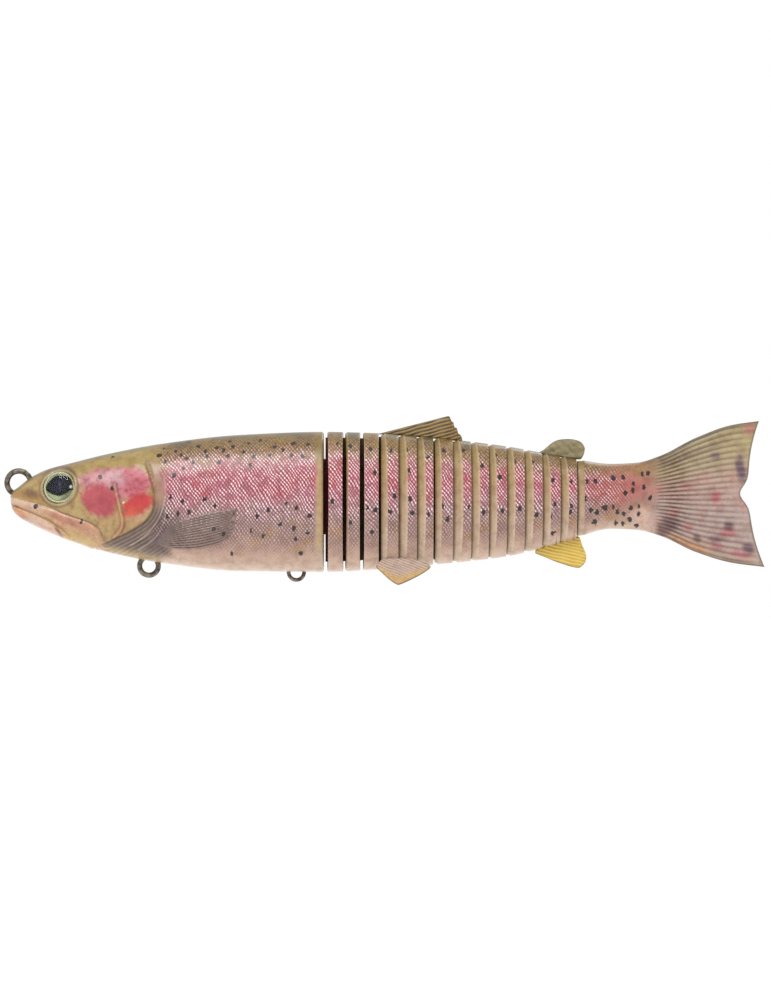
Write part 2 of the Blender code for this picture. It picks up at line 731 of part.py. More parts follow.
def pelvic_fin(name, side, finish):
    """One of the pair beside slices 3 to 6: a small blade that leans out from the lower flank and
    follows the belly's slope."""
    front = slice_front(4) - 1.3 * MM
    middle = front + PELVIC_LENGTH / 2
    edge = [
        (0.0, -0.40 * PELVIC_DEPTH),
        (0.36 * PELVIC_LENGTH, -PELVIC_DEPTH),
        (0.58 * PELVIC_LENGTH, -0.88 * PELVIC_DEPTH),
        (PELVIC_LENGTH, -0.28 * PELVIC_DEPTH),
    ]
    points = [*curve_points(edge, 4), (0.90 * PELVIC_LENGTH, 0.0), (0.08 * PELVIC_LENGTH, 0.0)]
    high, low = back(middle), belly(middle)
    share = (1 - (PELVIC_OFF_CENTRE / half_width(middle)) ** SECTION_POWER) ** (1 / SECTION_POWER)
    skin = (high + low) / 2 - (high - low) / 2 * share
    slope = (belly(front + PELVIC_LENGTH) - belly(front)) / PELVIC_LENGTH
    out = PELVIC_OFF_CENTRE + FIN_THICKNESS / 2 + 2 * CLEARANCE
    seat = (front, side * out, skin - slope * PELVIC_LENGTH / 2)
    turn = Matrix.Rotation(-math.atan(slope), 4, "Y") @ Matrix.Rotation(side * PELVIC_SPLAY, 4, "X")
    shape = bmesh.new()
    plate(shape, points, FIN_THICKNESS, Matrix.Translation(seat) @ turn)
    set_origin(add_object(name, shape, finish), seat)


# The assembly

for old in list(bpy.data.objects):
    bpy.data.objects.remove(old)

shell_paint = material("painted_shell", (0.46, 0.30, 0.20), 0.32)
slice_paint = material("painted_slice", (0.52, 0.30, 0.26), 0.42)
tail_paint = material("painted_tail", (0.42, 0.28, 0.18), 0.42)
fin_olive = material("olive_fin", (0.22, 0.15, 0.06), 0.45)
fin_yellow = material("yellow_fin", (0.62, 0.45, 0.06), 0.45)
fin_grey = material("grey_fin", (0.38, 0.27, 0.20), 0.45)
steel_wire = material("steel_wire", (0.33, 0.31, 0.28), 0.30, 1.0)
pin_brass = material("brass_pin", (0.62, 0.45, 0.18), 0.35, 1.0)
ballast_lead = material("lead_ballast", (0.20, 0.20, 0.21), 0.55, 1.0)
web_fabric = material("web_fabric", (0.12, 0.06, 0.04), 0.85)
eye_print = material("eye_print", (0.05, 0.06, 0.08), 0.30)
eye_resin = material("eye_resin", (0.75, 0.78, 0.70), 0.05)

for side_name, side_sign in (("left", -1), ("right", 1)):
    head_shell(f"head_shell_{side_name}", side_sign, shell_paint)
    eye(side_name, side_sign, eye_print, eye_resin)
    pelvic_fin(f"pelvic_fin_{side_name}", side_sign, fin_grey)

for wire_name, ring_at, ring_size, anchor_at, anchor_size, thick in WIRES:
    loop_shape = bmesh.new()
    route = figure_eight(ring_at, ring_size, anchor_at, anchor_size, thick)
    wire_loop(loop_shape, route, thick)
    set_origin(add_object(wire_name, loop_shape, steel_wire), (ring_at[0], 0, ring_at[1]))

for bar in BALLAST:
    ballast_bar(*bar, ballast_lead)
for pin_name, pin_z in PIN_HEIGHTS:
    spine_pin(pin_name, pin_z, pin_brass)
spine_web(web_fabric)

for slice_number in range(1, SLICE_COUNT + 1):
    body_slice(slice_number, slice_paint)
tail(tail_paint)
dorsal_fin(fin_olive)
adipose_fin(fin_olive)
anal_fin(fin_yellow)
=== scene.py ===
import math

import bmesh
import bpy
import numpy as np
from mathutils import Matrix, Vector


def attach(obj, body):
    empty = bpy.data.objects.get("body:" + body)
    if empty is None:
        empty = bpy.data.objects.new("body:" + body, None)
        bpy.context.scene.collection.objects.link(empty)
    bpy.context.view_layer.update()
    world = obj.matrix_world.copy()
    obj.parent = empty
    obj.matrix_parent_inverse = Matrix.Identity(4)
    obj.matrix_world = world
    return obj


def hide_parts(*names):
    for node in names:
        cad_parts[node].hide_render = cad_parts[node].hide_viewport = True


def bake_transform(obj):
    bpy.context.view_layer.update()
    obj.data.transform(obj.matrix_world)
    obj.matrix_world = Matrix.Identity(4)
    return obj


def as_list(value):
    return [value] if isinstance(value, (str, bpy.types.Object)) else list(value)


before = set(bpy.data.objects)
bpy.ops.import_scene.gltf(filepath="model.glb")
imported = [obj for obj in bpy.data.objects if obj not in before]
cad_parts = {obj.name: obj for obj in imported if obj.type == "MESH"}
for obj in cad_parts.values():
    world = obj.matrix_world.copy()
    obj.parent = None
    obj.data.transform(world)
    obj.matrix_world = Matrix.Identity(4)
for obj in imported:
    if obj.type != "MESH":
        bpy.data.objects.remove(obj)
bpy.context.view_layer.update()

# Studio. The lure hangs level over a white floor in soft white light, seen square on from its left
# flank through a long lens, with one large soft box in front and above and a weaker one behind.
camera = bpy.data.objects.new("camera", bpy.data.cameras.new("camera"))
bpy.context.scene.collection.objects.link(camera)
camera.location = (0.1045, -0.9, -0.0052)
camera.rotation_euler = (math.pi / 2, 0, 0)
camera.data.lens = 0.9 * 36 / 0.285
camera.data.clip_start = 0.05
bpy.context.scene.camera = camera
bpy.context.scene.view_settings.view_transform = "Standard"

sky = bpy.data.worlds.new("white_room")
bpy.context.scene.world = sky
sky.use_nodes = True
sky.node_tree.nodes["Background"].inputs["Color"].default_value = (1, 1, 1, 1)
sky.node_tree.nodes["Background"].inputs["Strength"].default_value = 1.0

for lamp_name, place, size, power in (
    ("soft_box_front", (-0.15, -0.75, 0.85), 0.5, 9.0),
    ("soft_box_back", (0.5, 0.6, 0.7), 0.6, 4.0),
):
    lamp = bpy.data.lights.new(lamp_name, "AREA")
    lamp.size, lamp.energy = size, power
    made = bpy.data.objects.new(lamp_name, lamp)
    made.location = place
    made.rotation_mode = "QUATERNION"
    made.rotation_quaternion = (Vector(place) - Vector((0.1, 0, 0))).to_track_quat("Z", "Y")
    bpy.context.scene.collection.objects.link(made)

floor_mesh = bpy.data.meshes.new("floor")
floor_mesh.from_pydata([(-4, -4, -0.16), (4, -4, -0.16), (4, 4, -0.16), (-4, 4, -0.16)], [],
                       [(0, 1, 2, 3)])
floor = bpy.data.objects.new("floor", floor_mesh)
bpy.context.scene.collection.objects.link(floor)
floor_paint = bpy.data.materials.new("pale_floor")
floor_paint.use_nodes = True
floor_paint.node_tree.nodes["Principled BSDF"].inputs["Base Color"].default_value = (1, 1, 1, 1)
floor_paint.node_tree.nodes["Principled BSDF"].inputs["Roughness"].default_value = 0.9
floor_mesh.materials.append(floor_paint)


# Head. The real one is two moulded plastic shells glued along the mid-line, with the cheek, gill
# cover, mouth and pectoral fin in relief. It is airbrushed over a silvered scale pattern and
# clear coated, and its rear lip is left bare.

# Share of the length, then the back's height and the belly's drop from the axis as shares of the
# depth, then the half width as a share of half the width
OUTLINE = np.array([
    (0.000, 0.000, 0.000, 0.00), (0.003, 0.036, 0.084, 0.13), (0.011, 0.069, 0.138, 0.29),
    (0.027, 0.136, 0.190, 0.45), (0.050, 0.196, 0.249, 0.59), (0.082, 0.242, 0.317, 0.73),
    (0.130, 0.306, 0.394, 0.86), (0.201, 0.378, 0.470, 0.96), (0.302, 0.440, 0.528, 1.00),
    (0.416, 0.463, 0.535, 0.98), (0.480, 0.455, 0.520, 0.93), (0.558, 0.424, 0.485, 0.83),
    (0.655, 0.362, 0.428, 0.69), (0.735, 0.285, 0.320, 0.54), (0.798, 0.235, 0.228, 0.42),
    (0.830, 0.243, 0.235, 0.36), (0.862, 0.293, 0.278, 0.24), (0.909, 0.420, 0.393, 0.12),
    (0.957, 0.512, 0.470, 0.08), (1.000, 0.545, 0.500, 0.06),
])
# Sizes in mm, as every length below
NOSE, LENGTH, AXIS, DEPTH, WIDTH = -2.5, 215, -4.3, 40, 25
SQUARE = 2.2  # the sections' exponent, 2 for an ellipse
HEAD_REAR, GAP, SLICE = 86.9, 1.0, 4.085
SIDES = (("left", -1), ("right", 1))


def outline(x, column):
    """A column of OUTLINE at x: cubic pieces, each joint's slope the harmonic mean of its
    neighbours' rises, or level where they differ in sign."""
    share, value = OUTLINE[:, 0], OUTLINE[:, column]
    rise = np.diff(value) / np.diff(share)
    product = rise[:-1] * rise[1:]
    total = np.where(product > 0, rise[:-1] + rise[1:], 1)
    slope = np.r_[rise[0], np.where(product > 0, 2 * product / total, 0), rise[-1]]
    at = np.clip((np.asarray(x, float) - NOSE) / LENGTH, 0, 1)
    k = np.clip(np.searchsorted(share, at, side="right") - 1, 0, len(share) - 2)
    wide = share[k + 1] - share[k]
    t = (at - share[k]) / wide
    return (value[k] * (1 + 2 * t) * (1 - t) ** 2 + value[k + 1] * t * t * (3 - 2 * t)
            + slope[k] * wide * t * (1 - t) ** 2 - slope[k + 1] * wide * t * t * (1 - t))


def back(x):
    """Height of the back: the axis plus the depth times the outline's share."""
    return AXIS + DEPTH * outline(x, 1)


def belly(x):
    """Height of the belly: the axis less the depth times the outline's share."""
    return AXIS - DEPTH * outline(x, 2)


def half_width(x):
    """Half the width times the outline's share."""
    return WIDTH / 2 * outline(x, 3)


def section(x, turn):
    """(y, z) on the section at x, at an angle up from the flank: an ellipse whose sine and cosine
    are raised to 2 / SQUARE, which squares it off a little."""
    c, s = np.cos(turn), np.sin(turn)
    y = half_width(x) * np.sign(c) * np.abs(c) ** (2 / SQUARE)
    high = (back(x) - belly(x)) / 2
    return y, belly(x) + high + high * np.sign(s) * np.abs(s) ** (2 / SQUARE)


def flank(x, z):
    """Half width of the body's section at height z."""
    high = (back(x) - belly(x)) / 2
    share = np.clip(np.abs(z - belly(x) - high) / high, 0, 1)
    return half_width(x) * (1 - share**SQUARE) ** (1 / SQUARE)


def ease(value, low, high):
    """0 up to low and 1 from high, with a cubic in between; low may be the larger."""
    t = np.clip((value - low) / (high - low), 0, 1)
    return t * t * (3 - 2 * t)


def trace(points, steps=6):
    """A smooth line through the points (Catmull-Rom)."""
    p = np.array([points[0], *points, points[-1]], float)
    t = np.linspace(0, 1, steps, endpoint=False)[:, None]
    parts = [((2 * b) + (c - a) * t + (2 * a - 5 * b + 4 * c - d) * t**2
              + (3 * b - a - 3 * c + d) * t**3) / 2 for a, b, c, d in zip(p, p[1:], p[2:], p[3:])]
    return np.concatenate([*parts, p[-1:]])


def from_line(x, z, points):
    """Distance to a traced line, signed: positive on the left of someone walking along it. Past
    the line's ends the sign is kept and the distance grows."""
    line = trace(points)
    a, d = line[:-1], np.diff(line, axis=0)
    p = np.stack([x, z], -1)[..., None, :]
    t = np.clip(((p - a) * d).sum(-1) / (d * d).sum(-1), 0, 1)
    off = p - a - t[..., None] * d
    far = np.hypot(off[..., 0], off[..., 1])
    k = far.argmin(-1)[..., None]
    cross = d[:, 0] * off[..., 1] - d[:, 1] * off[..., 0]
    return np.take_along_axis(far * np.sign(cross), k, -1)[..., 0]


def oval(x, z, middle, size, tilt=0.0, soft=0.35):
    """An airbrushed patch: 1 inside a tilted oval with an uneven edge, fading out over the soft
    share of its size."""
    c, s = math.cos(math.radians(tilt)), math.sin(math.radians(tilt))
    u, v = x - middle[0], z - middle[1]
    far = np.hypot((u * c + v * s) / size[0], (v * c - u * s) / size[1])
    far = far + 0.10 * drift(x, z, 3.1, 11) + 0.06 * drift(x, z, 1.2, 12)
    return ease(far, 1 + soft, 1 - soft)


def drift(x, z, size, seed):
    """Slow uneven waves between about -1 and 1: five sines in scattered directions."""
    random = np.random.default_rng(seed)
    total = 0
    for turn, phase, scale in random.random((5, 3)):
        along = x * math.cos(6.3 * turn) + z * math.sin(6.3 * turn)
        total = total + np.sin(6.3 * (along / size * (0.6 + scale) + phase))
    return total / 2.6


def patches(colour, x, z, rows):
    """Lays ovals over a colour; a row is the ink, the middle, the size, the tilt, the soft share
    and the strength."""
    for ink, middle, size, tilt, soft, strength in rows:
        colour = over(colour, ink, oval(x, z, middle, size, tilt, soft) * strength)
    return colour


def dots(x, run, places, radius, reach):
    """Airbrushed spots, each a tall uneven oval, laid by their length round the section: 1 at
    their middles, fading at the radius."""
    mask = np.zeros(np.shape(x))
    wobble = 0.14 * drift(x, run, 1.3, 71)
    for k, (a, b) in enumerate(places):
        off = run - reach(a, b)
        near = np.hypot((x - a) * (1.35 - 0.12 * (k % 4)), off * (0.75 + 0.12 * (k % 3))) + wobble
        mask = np.maximum(mask, ease(near, radius * (0.82 + 0.2 * (k % 3)), 0.15 * radius))
    return mask


def bell(value, at, width):
    """exp(-((value - at) / width)^2): 1 on a line and soon 0 beside it."""
    return np.exp(-(((value - at) / width) ** 2))


def over(paint, colour, mask):
    """Lays a colour over the paint where the mask is 1."""
    return paint + np.asarray(mask)[..., None] * (np.array(colour, float) - paint)


def quads(rows, columns, closed=(False, False), first=0):
    """Faces between neighbouring vertices of a grid, carried round where it is closed."""
    i, j = np.meshgrid(np.arange(rows - (not closed[0])), np.arange(columns - (not closed[1])),
                       indexing="ij")
    k, m = (i + 1) % rows, (j + 1) % columns
    corners = [i * columns + j, k * columns + j, k * columns + m, i * columns + m]
    return first + np.stack(corners, -1).reshape(-1, 4)


def tube(rows, columns):
    """Faces of a grid closed round its columns, with a cap at each end."""
    count = rows * columns
    return [quads(rows, columns, (False, True)), [np.arange(columns)],
            [np.arange(count - columns, count)]]


def outward(points):
    """Unit normals of a grid: the cross product of the steps along its rows and its columns."""
    normal = np.cross(np.gradient(points, axis=0), np.gradient(points, axis=1))
    return normal / np.maximum(np.linalg.norm(normal, axis=-1, keepdims=True), 1e-9)


def linear(colour):
    """Screen values from 0 to 255 as light, dimmed to what the soft boxes add to the white room."""
    c = np.clip(np.asarray(colour, float), 0, 255) / 255
    return np.where(c > 0.04, ((c + 0.055) / 1.055) ** 2.4, c / 12.92) * 0.62


def make(name, points, faces, finish, paint=None, marks=None, lay=None, sharp=35):
    """A mesh object from points in mm and lists of faces, with what its finish reads on them:
    paint (colour), marks (three masks) and lay (where the pattern's x and y run, in mm)."""
    mesh = bpy.data.meshes.new(name)
    mesh.from_pydata((points.reshape(-1, 3) * 0.001).tolist(), [],
                     [list(face) for group in faces for face in group])
    shell = bmesh.new()
    shell.from_mesh(mesh)
    bmesh.ops.recalc_face_normals(shell, faces=shell.faces)
    if shell.calc_volume(signed=True) < 0:
        bmesh.ops.reverse_faces(shell, faces=shell.faces)
    shell.to_mesh(mesh)
    shell.free()
    for key, kind, slot, values in (("paint", "FLOAT_COLOR", "color", paint),
                                    ("marks", "FLOAT_VECTOR", "vector", marks),
                                    ("lay", "FLOAT_VECTOR", "vector", lay)):
        if values is None:
            continue
        values = np.asarray(values, float).reshape(-1, 3)
        if kind == "FLOAT_COLOR":
            values = np.c_[linear(values), np.ones(len(values))]
        mesh.attributes.new(key, kind, "POINT").data.foreach_set(
            slot, values.astype(np.float32).ravel())
    mesh.materials.append(finish.material)
    mesh.shade_smooth()
    mesh.set_sharp_from_angle(angle=math.radians(sharp))
    made = bpy.data.objects.new(name, mesh)
    bpy.context.scene.collection.objects.link(made)
    return made


class Tone:
    """A value in a finish. Arithmetic on it adds Math nodes."""

    def __init__(self, finish, socket):
        self.finish, self.socket = finish, socket

    def math(self, operation, *values):
        return self.finish.math(operation, *values)

    def __add__(self, other):
        return self.math("ADD", self, other)

    __radd__ = __add__

    def __sub__(self, other):
        return self.math("SUBTRACT", self, other)

    def __rsub__(self, other):
        return self.math("SUBTRACT", other, self)

    def __mul__(self, other):
        return self.math("MULTIPLY", self, other)

    __rmul__ = __mul__

    def __truediv__(self, other):
        return self.math("DIVIDE", self, other)

    def __abs__(self):
        return self.math("ABSOLUTE", self)

    def sine(self):
        """Its sine."""
        return self.math("SINE", self)

    def ease(self, low, high):
        """The same curve as ease() draws."""
        return self.finish.node("MapRange", {"interpolation_type": "SMOOTHSTEP"},
                                {0: self, 1: low, 2: high, 3: 0.0, 4: 1.0})


class Finish:
    """A material round one Principled shader, whose constants are set by name."""

    def __init__(self, name, **constants):
        self.material = bpy.data.materials.new(name)
        self.material.use_nodes = True
        self.tree = self.material.node_tree
        self.shader = self.tree.nodes["Principled BSDF"]
        for key, value in constants.items():
            self.shader.inputs[key.replace("_", " ")].default_value = value

    def node(self, kind, settings, sockets, out=0):
        """Adds a node, with its settings made before its sockets are filled or linked."""
        made = self.tree.nodes.new("ShaderNode" + kind)
        for key, value in settings.items():
            setattr(made, key, value)
        for key, value in sockets.items():
            if isinstance(value, Tone):
                self.tree.links.new(value.socket, made.inputs[key])
            else:
                made.inputs[key].default_value = value
        return Tone(self, made.outputs[out])

    def math(self, operation, *values):
        """One Math node."""
        return self.node("Math", {"operation": operation}, dict(enumerate(values)))

    def mix(self, factor, one, two, how="MIX"):
        """From colour one at factor 0 to colour two at 1."""
        return self.node("Mix", {"data_type": "RGBA", "blend_type": how},
                         {0: factor, 6: one, 7: two}, out=2)

    def noise(self, scale, detail=3.0, out=0):
        """Noise on the object's own coordinates; scale is in lumps to the metre."""
        return self.node("TexNoise", {}, {"Vector": self.place(), "Scale": scale,
                                          "Detail": detail}, out)

    def place(self):
        """The object's own coordinates."""
        return self.node("TexCoord", {}, {}, out="Object")

    def layer(self, name, out="Vector"):
        """An attribute that make() stored on the mesh."""
        return self.node("Attribute", {"attribute_name": name}, {}, out)

    def split(self, vector):
        """The three parts of a vector."""
        parts = self.node("SeparateXYZ", {}, {0: vector})
        return parts, *(Tone(self, parts.socket.node.outputs[k]) for k in (1, 2))

    def use(self, **sockets):
        """Links values to the shader's sockets by name."""
        for key, value in sockets.items():
            self.tree.links.new(value.socket, self.shader.inputs[key.replace("_", " ")])
        return self

    def bump(self, height, depth, strength=1.0):
        """Depth is the height's full swing, in metres."""
        return self.node("Bump", {}, {"Height": height, "Distance": depth, "Strength": strength})


def skin_finish(name, gloss):
    """Airbrushed skin under clear coat. The scale net is a diamond lattice, 1.0 mm along and
    1.35 mm up, dark on its borders; each scale has one slanting glint, an ellipse about its
    middle. Grain, soft stains and black spots lie over it."""
    f = Finish(name, Coat_Weight=0.35, Coat_Roughness=0.22, Specular_IOR_Level=0.25)
    x, s, _ = f.split(f.layer("lay"))
    scale, spot, glint = f.split(f.layer("marks"))
    shake, sway, patchy = f.noise(300.0, 3.0), f.noise(190.0, 2.0), f.noise(620.0, 2.0)
    a = f.math("FRACT", x + s / 1.35 + shake * 1.6 + sway * 1.5) - 0.5
    b = f.math("FRACT", x - s / 1.35 + shake * 1.5 - sway * 1.2) - 0.5
    border = f.math("MAXIMUM", abs(a), abs(b)) * 2
    along, up = (a + b) * 0.5, (a - b) * 0.675
    length, width = (along * 0.42 - up * 0.91) / 0.38, (along * 0.91 + up * 0.42) / 0.19
    dash = (length * length + width * width).ease(1.6, 0.3)
    grain = f.noise(2600.0, 3.0)
    colour = f.layer("paint", "Color")
    colour = f.mix(f.noise(420.0, 5.0).ease(0.38, 0.72) * 0.4, colour,
                   (0.46, 0.33, 0.24, 1), "MULTIPLY")
    colour = f.mix(scale * border.ease(0.35, 0.95) * (patchy * 0.5 + 0.45), colour,
                   (0.40, 0.16, 0.22, 1), "MULTIPLY")
    colour = f.mix(glint * dash * (patchy.ease(0.35, 0.6) * 0.8 + 0.15), colour,
                   (0.74, 0.54, 0.56, 1))
    colour = f.mix(grain.ease(0.4, 0.75) * 0.35, colour, (0.52, 0.38, 0.34, 1), "MULTIPLY")
    ragged = spot + (grain - 0.5) * 0.5 + (f.noise(1300.0, 2.0) - 0.5) * 1.1
    colour = f.mix(ragged.ease(0.26, 0.52), colour, (0.014, 0.008, 0.007, 1))
    height = scale * ((1 - border) * 0.8 + dash * 0.5) + grain * 0.35
    return f.use(Base_Color=colour, Roughness=gloss + grain * 0.16 - glint * dash * 0.12,
                 Normal=f.bump(height, 0.00010, 0.9))


# The sprayed colours from the belly up: height as a share of the section, then the colour
BODY_COLOURS = np.array([
    (0.00, 222, 194, 172), (0.10, 214, 180, 158), (0.20, 190, 158, 142), (0.34, 172, 144, 134),
    (0.46, 180, 138, 138), (0.56, 196, 118, 132), (0.68, 204, 108, 124), (0.78, 196, 122, 124),
    (0.84, 180, 140, 92), (0.91, 160, 132, 66), (0.97, 138, 112, 58), (1.00, 104, 92, 58),
])


def body_colour(x, z, run):
    """The body's colour at height z: BODY_COLOURS between its rows, then patches of red, cream,
    gold and dark flecks, which drift over the skin by its length round the section (run)."""
    share = (z - belly(x)) / np.maximum(back(x) - belly(x), 0.1) + 0.025 * drift(x, run, 14, 3)
    colour = np.stack([np.interp(share, BODY_COLOURS[:, 0], BODY_COLOURS[:, k])
                       for k in (1, 2, 3)], -1)
    red = ease(share, 0.46, 0.58) * ease(share, 0.84, 0.74) * ease(drift(x, run, 11, 8), -0.1, 0.8)
    colour = over(colour, (206, 78, 84), 0.5 * red)
    pale = ease(share, 0.12, 0.2) * ease(share, 0.44, 0.3) * ease(drift(x, run, 12, 21), 0.1, 0.9)
    colour = over(colour, (210, 184, 164), 0.45 * pale)
    gold = ease(share, 0.12, 0.2) * ease(share, 0.42, 0.3) * ease(drift(x, run, 9, 41), 0.3, 1.0)
    colour = over(colour, (196, 158, 104), 0.5 * gold)
    fleck = ease(drift(x, run, 1.9, 31) + 0.6 * drift(x, run, 0.9, 32), 0.1, 1.1)
    return over(colour, (96, 70, 34), fleck * ease(share, 0.78, 0.9) * ease(share, 1.0, 0.96) * 0.6)


def body_marks(x, z):
    """(scale net, glints): scales fade towards the belly and on the very back, and their
    glints are brightest in the pink stripe."""
    share = (z - belly(x)) / np.maximum(back(x) - belly(x), 0.1)
    net = ease(share, 0.02, 0.30) * ease(share, 1.02, 0.86)
    shine = ease(share, 0.30, 0.5) * ease(share, 0.92, 0.8) + 0.25 * ease(share, 0.1, 0.3)
    return net, np.clip(shine, 0, 1) * net


def girth(points, middle):
    """Length along each section from the flank's middle, up positive and down negative, the same
    on both sides: the pattern's second coordinate."""
    step = np.linalg.norm(np.diff(points, axis=1, prepend=points[:, :1]), axis=-1)
    run = np.cumsum(step, axis=1)
    return run - run[:, middle:middle + 1]


def rise_of(turn, x):
    """Length along the section from the flank's middle to each angle, the same on both sides."""
    fine = np.linspace(0, np.pi / 2, 400)
    y, z = section(np.full(400, float(x)), fine)
    run = np.r_[0, np.cumsum(np.hypot(np.diff(y), np.diff(z)))]
    up = np.arcsin(np.clip(np.abs(np.sin(turn)), 0, 1))
    return np.interp(up, fine, run) * np.sign(np.sin(turn))


def run_at(x, z):
    """The same length to height z on the skin at x."""
    high = (back(x) - belly(x)) / 2
    share = np.clip((z - belly(x) - high) / high, -0.999, 0.999)
    return float(rise_of(np.arcsin(np.sign(share) * np.abs(share) ** (SQUARE / 2)), x))


EYE = (12.2, -1.45)


def eye_frame(side):
    """The eye's centre on the skin, then unit vectors rearwards, upwards and outwards. It takes
    0.65 of the skin's own lean."""
    x, z = EYE
    lean = (flank(x + 1, z) - flank(x - 1, z)) / 2 * 0.65
    tilt = (flank(x, z + 1) - flank(x, z - 1)) / 2 * 0.65
    out = np.array([-lean, side, -tilt]) / math.sqrt(1 + lean**2 + tilt**2)
    rear = np.array([1, 0, 0]) - out[0] * out
    rear /= np.linalg.norm(rear)
    return np.array([x, side * flank(x, z), z]), rear, np.cross(out, rear) * side * -1, out


GILL = [(36.0, 6.6), (37.3, 3.4), (38.4, 0.0), (39.2, -4.0), (38.9, -7.6), (36.9, -10.8),
        (33.0, -13.4), (29.0, -15.4), (25.6, -16.9)]
CHEEK = [(28.2, -1.0), (28.8, -3.9), (29.9, -8.2), (30.5, -10.9), (30.0, -13.3), (27.9, -15.6)]
COLLAR = [(40.4, 5.0), (42.3, 0.6), (42.6, -4.0), (41.6, -8.4), (39.6, -12.2), (36.6, -15.4),
          (32.4, -18.0)]
SHOULDER = [(43.4, -4.8), (42.7, -9.4), (41.2, -13.6), (38.2, -17.0), (34.8, -19.2)]
GAPE = [(-2.4, -6.4), (-1.2, -6.9), (0.5, -7.5), (3.3, -8.5), (6.3, -9.8), (9.2, -11.2),
        (12.1, -13.1), (15.0, -15.6)]
LIP = [(-1.4, -4.6), (3.3, -5.7), (7.0, -6.7), (10.6, -7.8), (13.5, -9.1), (17.4, -10.4),
       (21.0, -11.6), (23.6, -13.2), (24.6, -15.2)]
FIN_TOP = [(40.0, -17.2), (42.0, -13.9), (44.6, -12.0), (48.1, -10.5), (52.6, -9.3), (57.4, -8.3),
           (62.9, -7.4)]
FIN_LOW = [(40.0, -17.6), (43.9, -18.8), (49.5, -19.1), (54.6, -18.4), (58.7, -17.0), (61.4, -14.2),
           (62.9, -8.2)]


def fin_share(x):
    """Lower and upper edge of the moulded pectoral fin at x."""
    top, low = trace(FIN_TOP), trace(FIN_LOW)
    return np.interp(x, low[:, 0], low[:, 1]), np.interp(x, top[:, 0], top[:, 1])


def head_relief(x, z):
    """How far the skin stands out from the plain section, in mm, on the flank."""
    rise = np.zeros(x.shape)
    gill = from_line(x, z, GILL)
    rise += 0.55 * ease(gill, 0.30, -0.15) * ease(gill, -11, -1) * ease(z, 8.5, 4.5)
    rise -= 0.26 * bell(gill, 0.55, 0.5) * ease(z, 7.5, 4.5)
    rise += 0.07 * np.cos(2 * np.pi * gill / 0.95) * ease(gill, 0.6, 1.2) * ease(gill, 7.5, 5.5) \
        * ease(z, -6, -10)
    collar = from_line(x, z, COLLAR)
    rise += 0.24 * bell(collar, 0, 0.28) * ease(z, 6, 1)
    rise -= 0.16 * bell(collar, 0.6, 0.4) * ease(z, 6, 1)
    rise += 0.22 * bell(from_line(x, z, SHOULDER), 0, 0.3)
    cheek = from_line(x, z, CHEEK)
    rise += 0.20 * bell(cheek, 0, 0.26) - 0.26 * bell(cheek, 0.62, 0.3)
    rise -= 0.20 * bell(cheek, -0.6, 0.34)
    gape = from_line(x, z, GAPE)
    rise -= (0.42 + 0.6 * ease(x, 1, -1.5)) * bell(gape, 0, 0.34)
    rise += 0.22 * ease(gape, 0.0, 0.8) * ease(gape, 4.5, 1.0) * ease(x, 18, 10)
    rise += 0.15 * bell(gape, -0.9, 0.4) - 0.14 * bell(gape, 1.3, 0.25)
    lip = from_line(x, z, LIP)
    rise -= 0.34 * bell(lip, 0, 0.36) * ease(x, 0.5, 4)
    rise += 0.24 * bell(lip, -0.95, 0.55) * ease(x, 0.5, 4)
    rise -= 0.16 * bell(lip, -2.0, 0.3) * ease(x, 12, 18)
    low, top = fin_share(x)
    share = (z - low) / np.maximum(top - low, 0.01)
    inside = (ease(np.minimum(z - low, top - z), -0.05, 0.55) * ease(x, 40.0, 41.6)
              * ease(x, 63.0, 62.2))
    rays = 0.5 - 0.5 * np.cos(2 * np.pi * 13 * share)
    rise += inside * (0.38 + 0.30 * (rays - 0.6) * ease(x, 41, 46))
    rise -= 0.18 * bell(np.hypot(x - 4.8, (z + 0.6) * 1.4), 0, 0.5)
    rise += 0.03 * drift(x, z, 5, 5)
    return rise


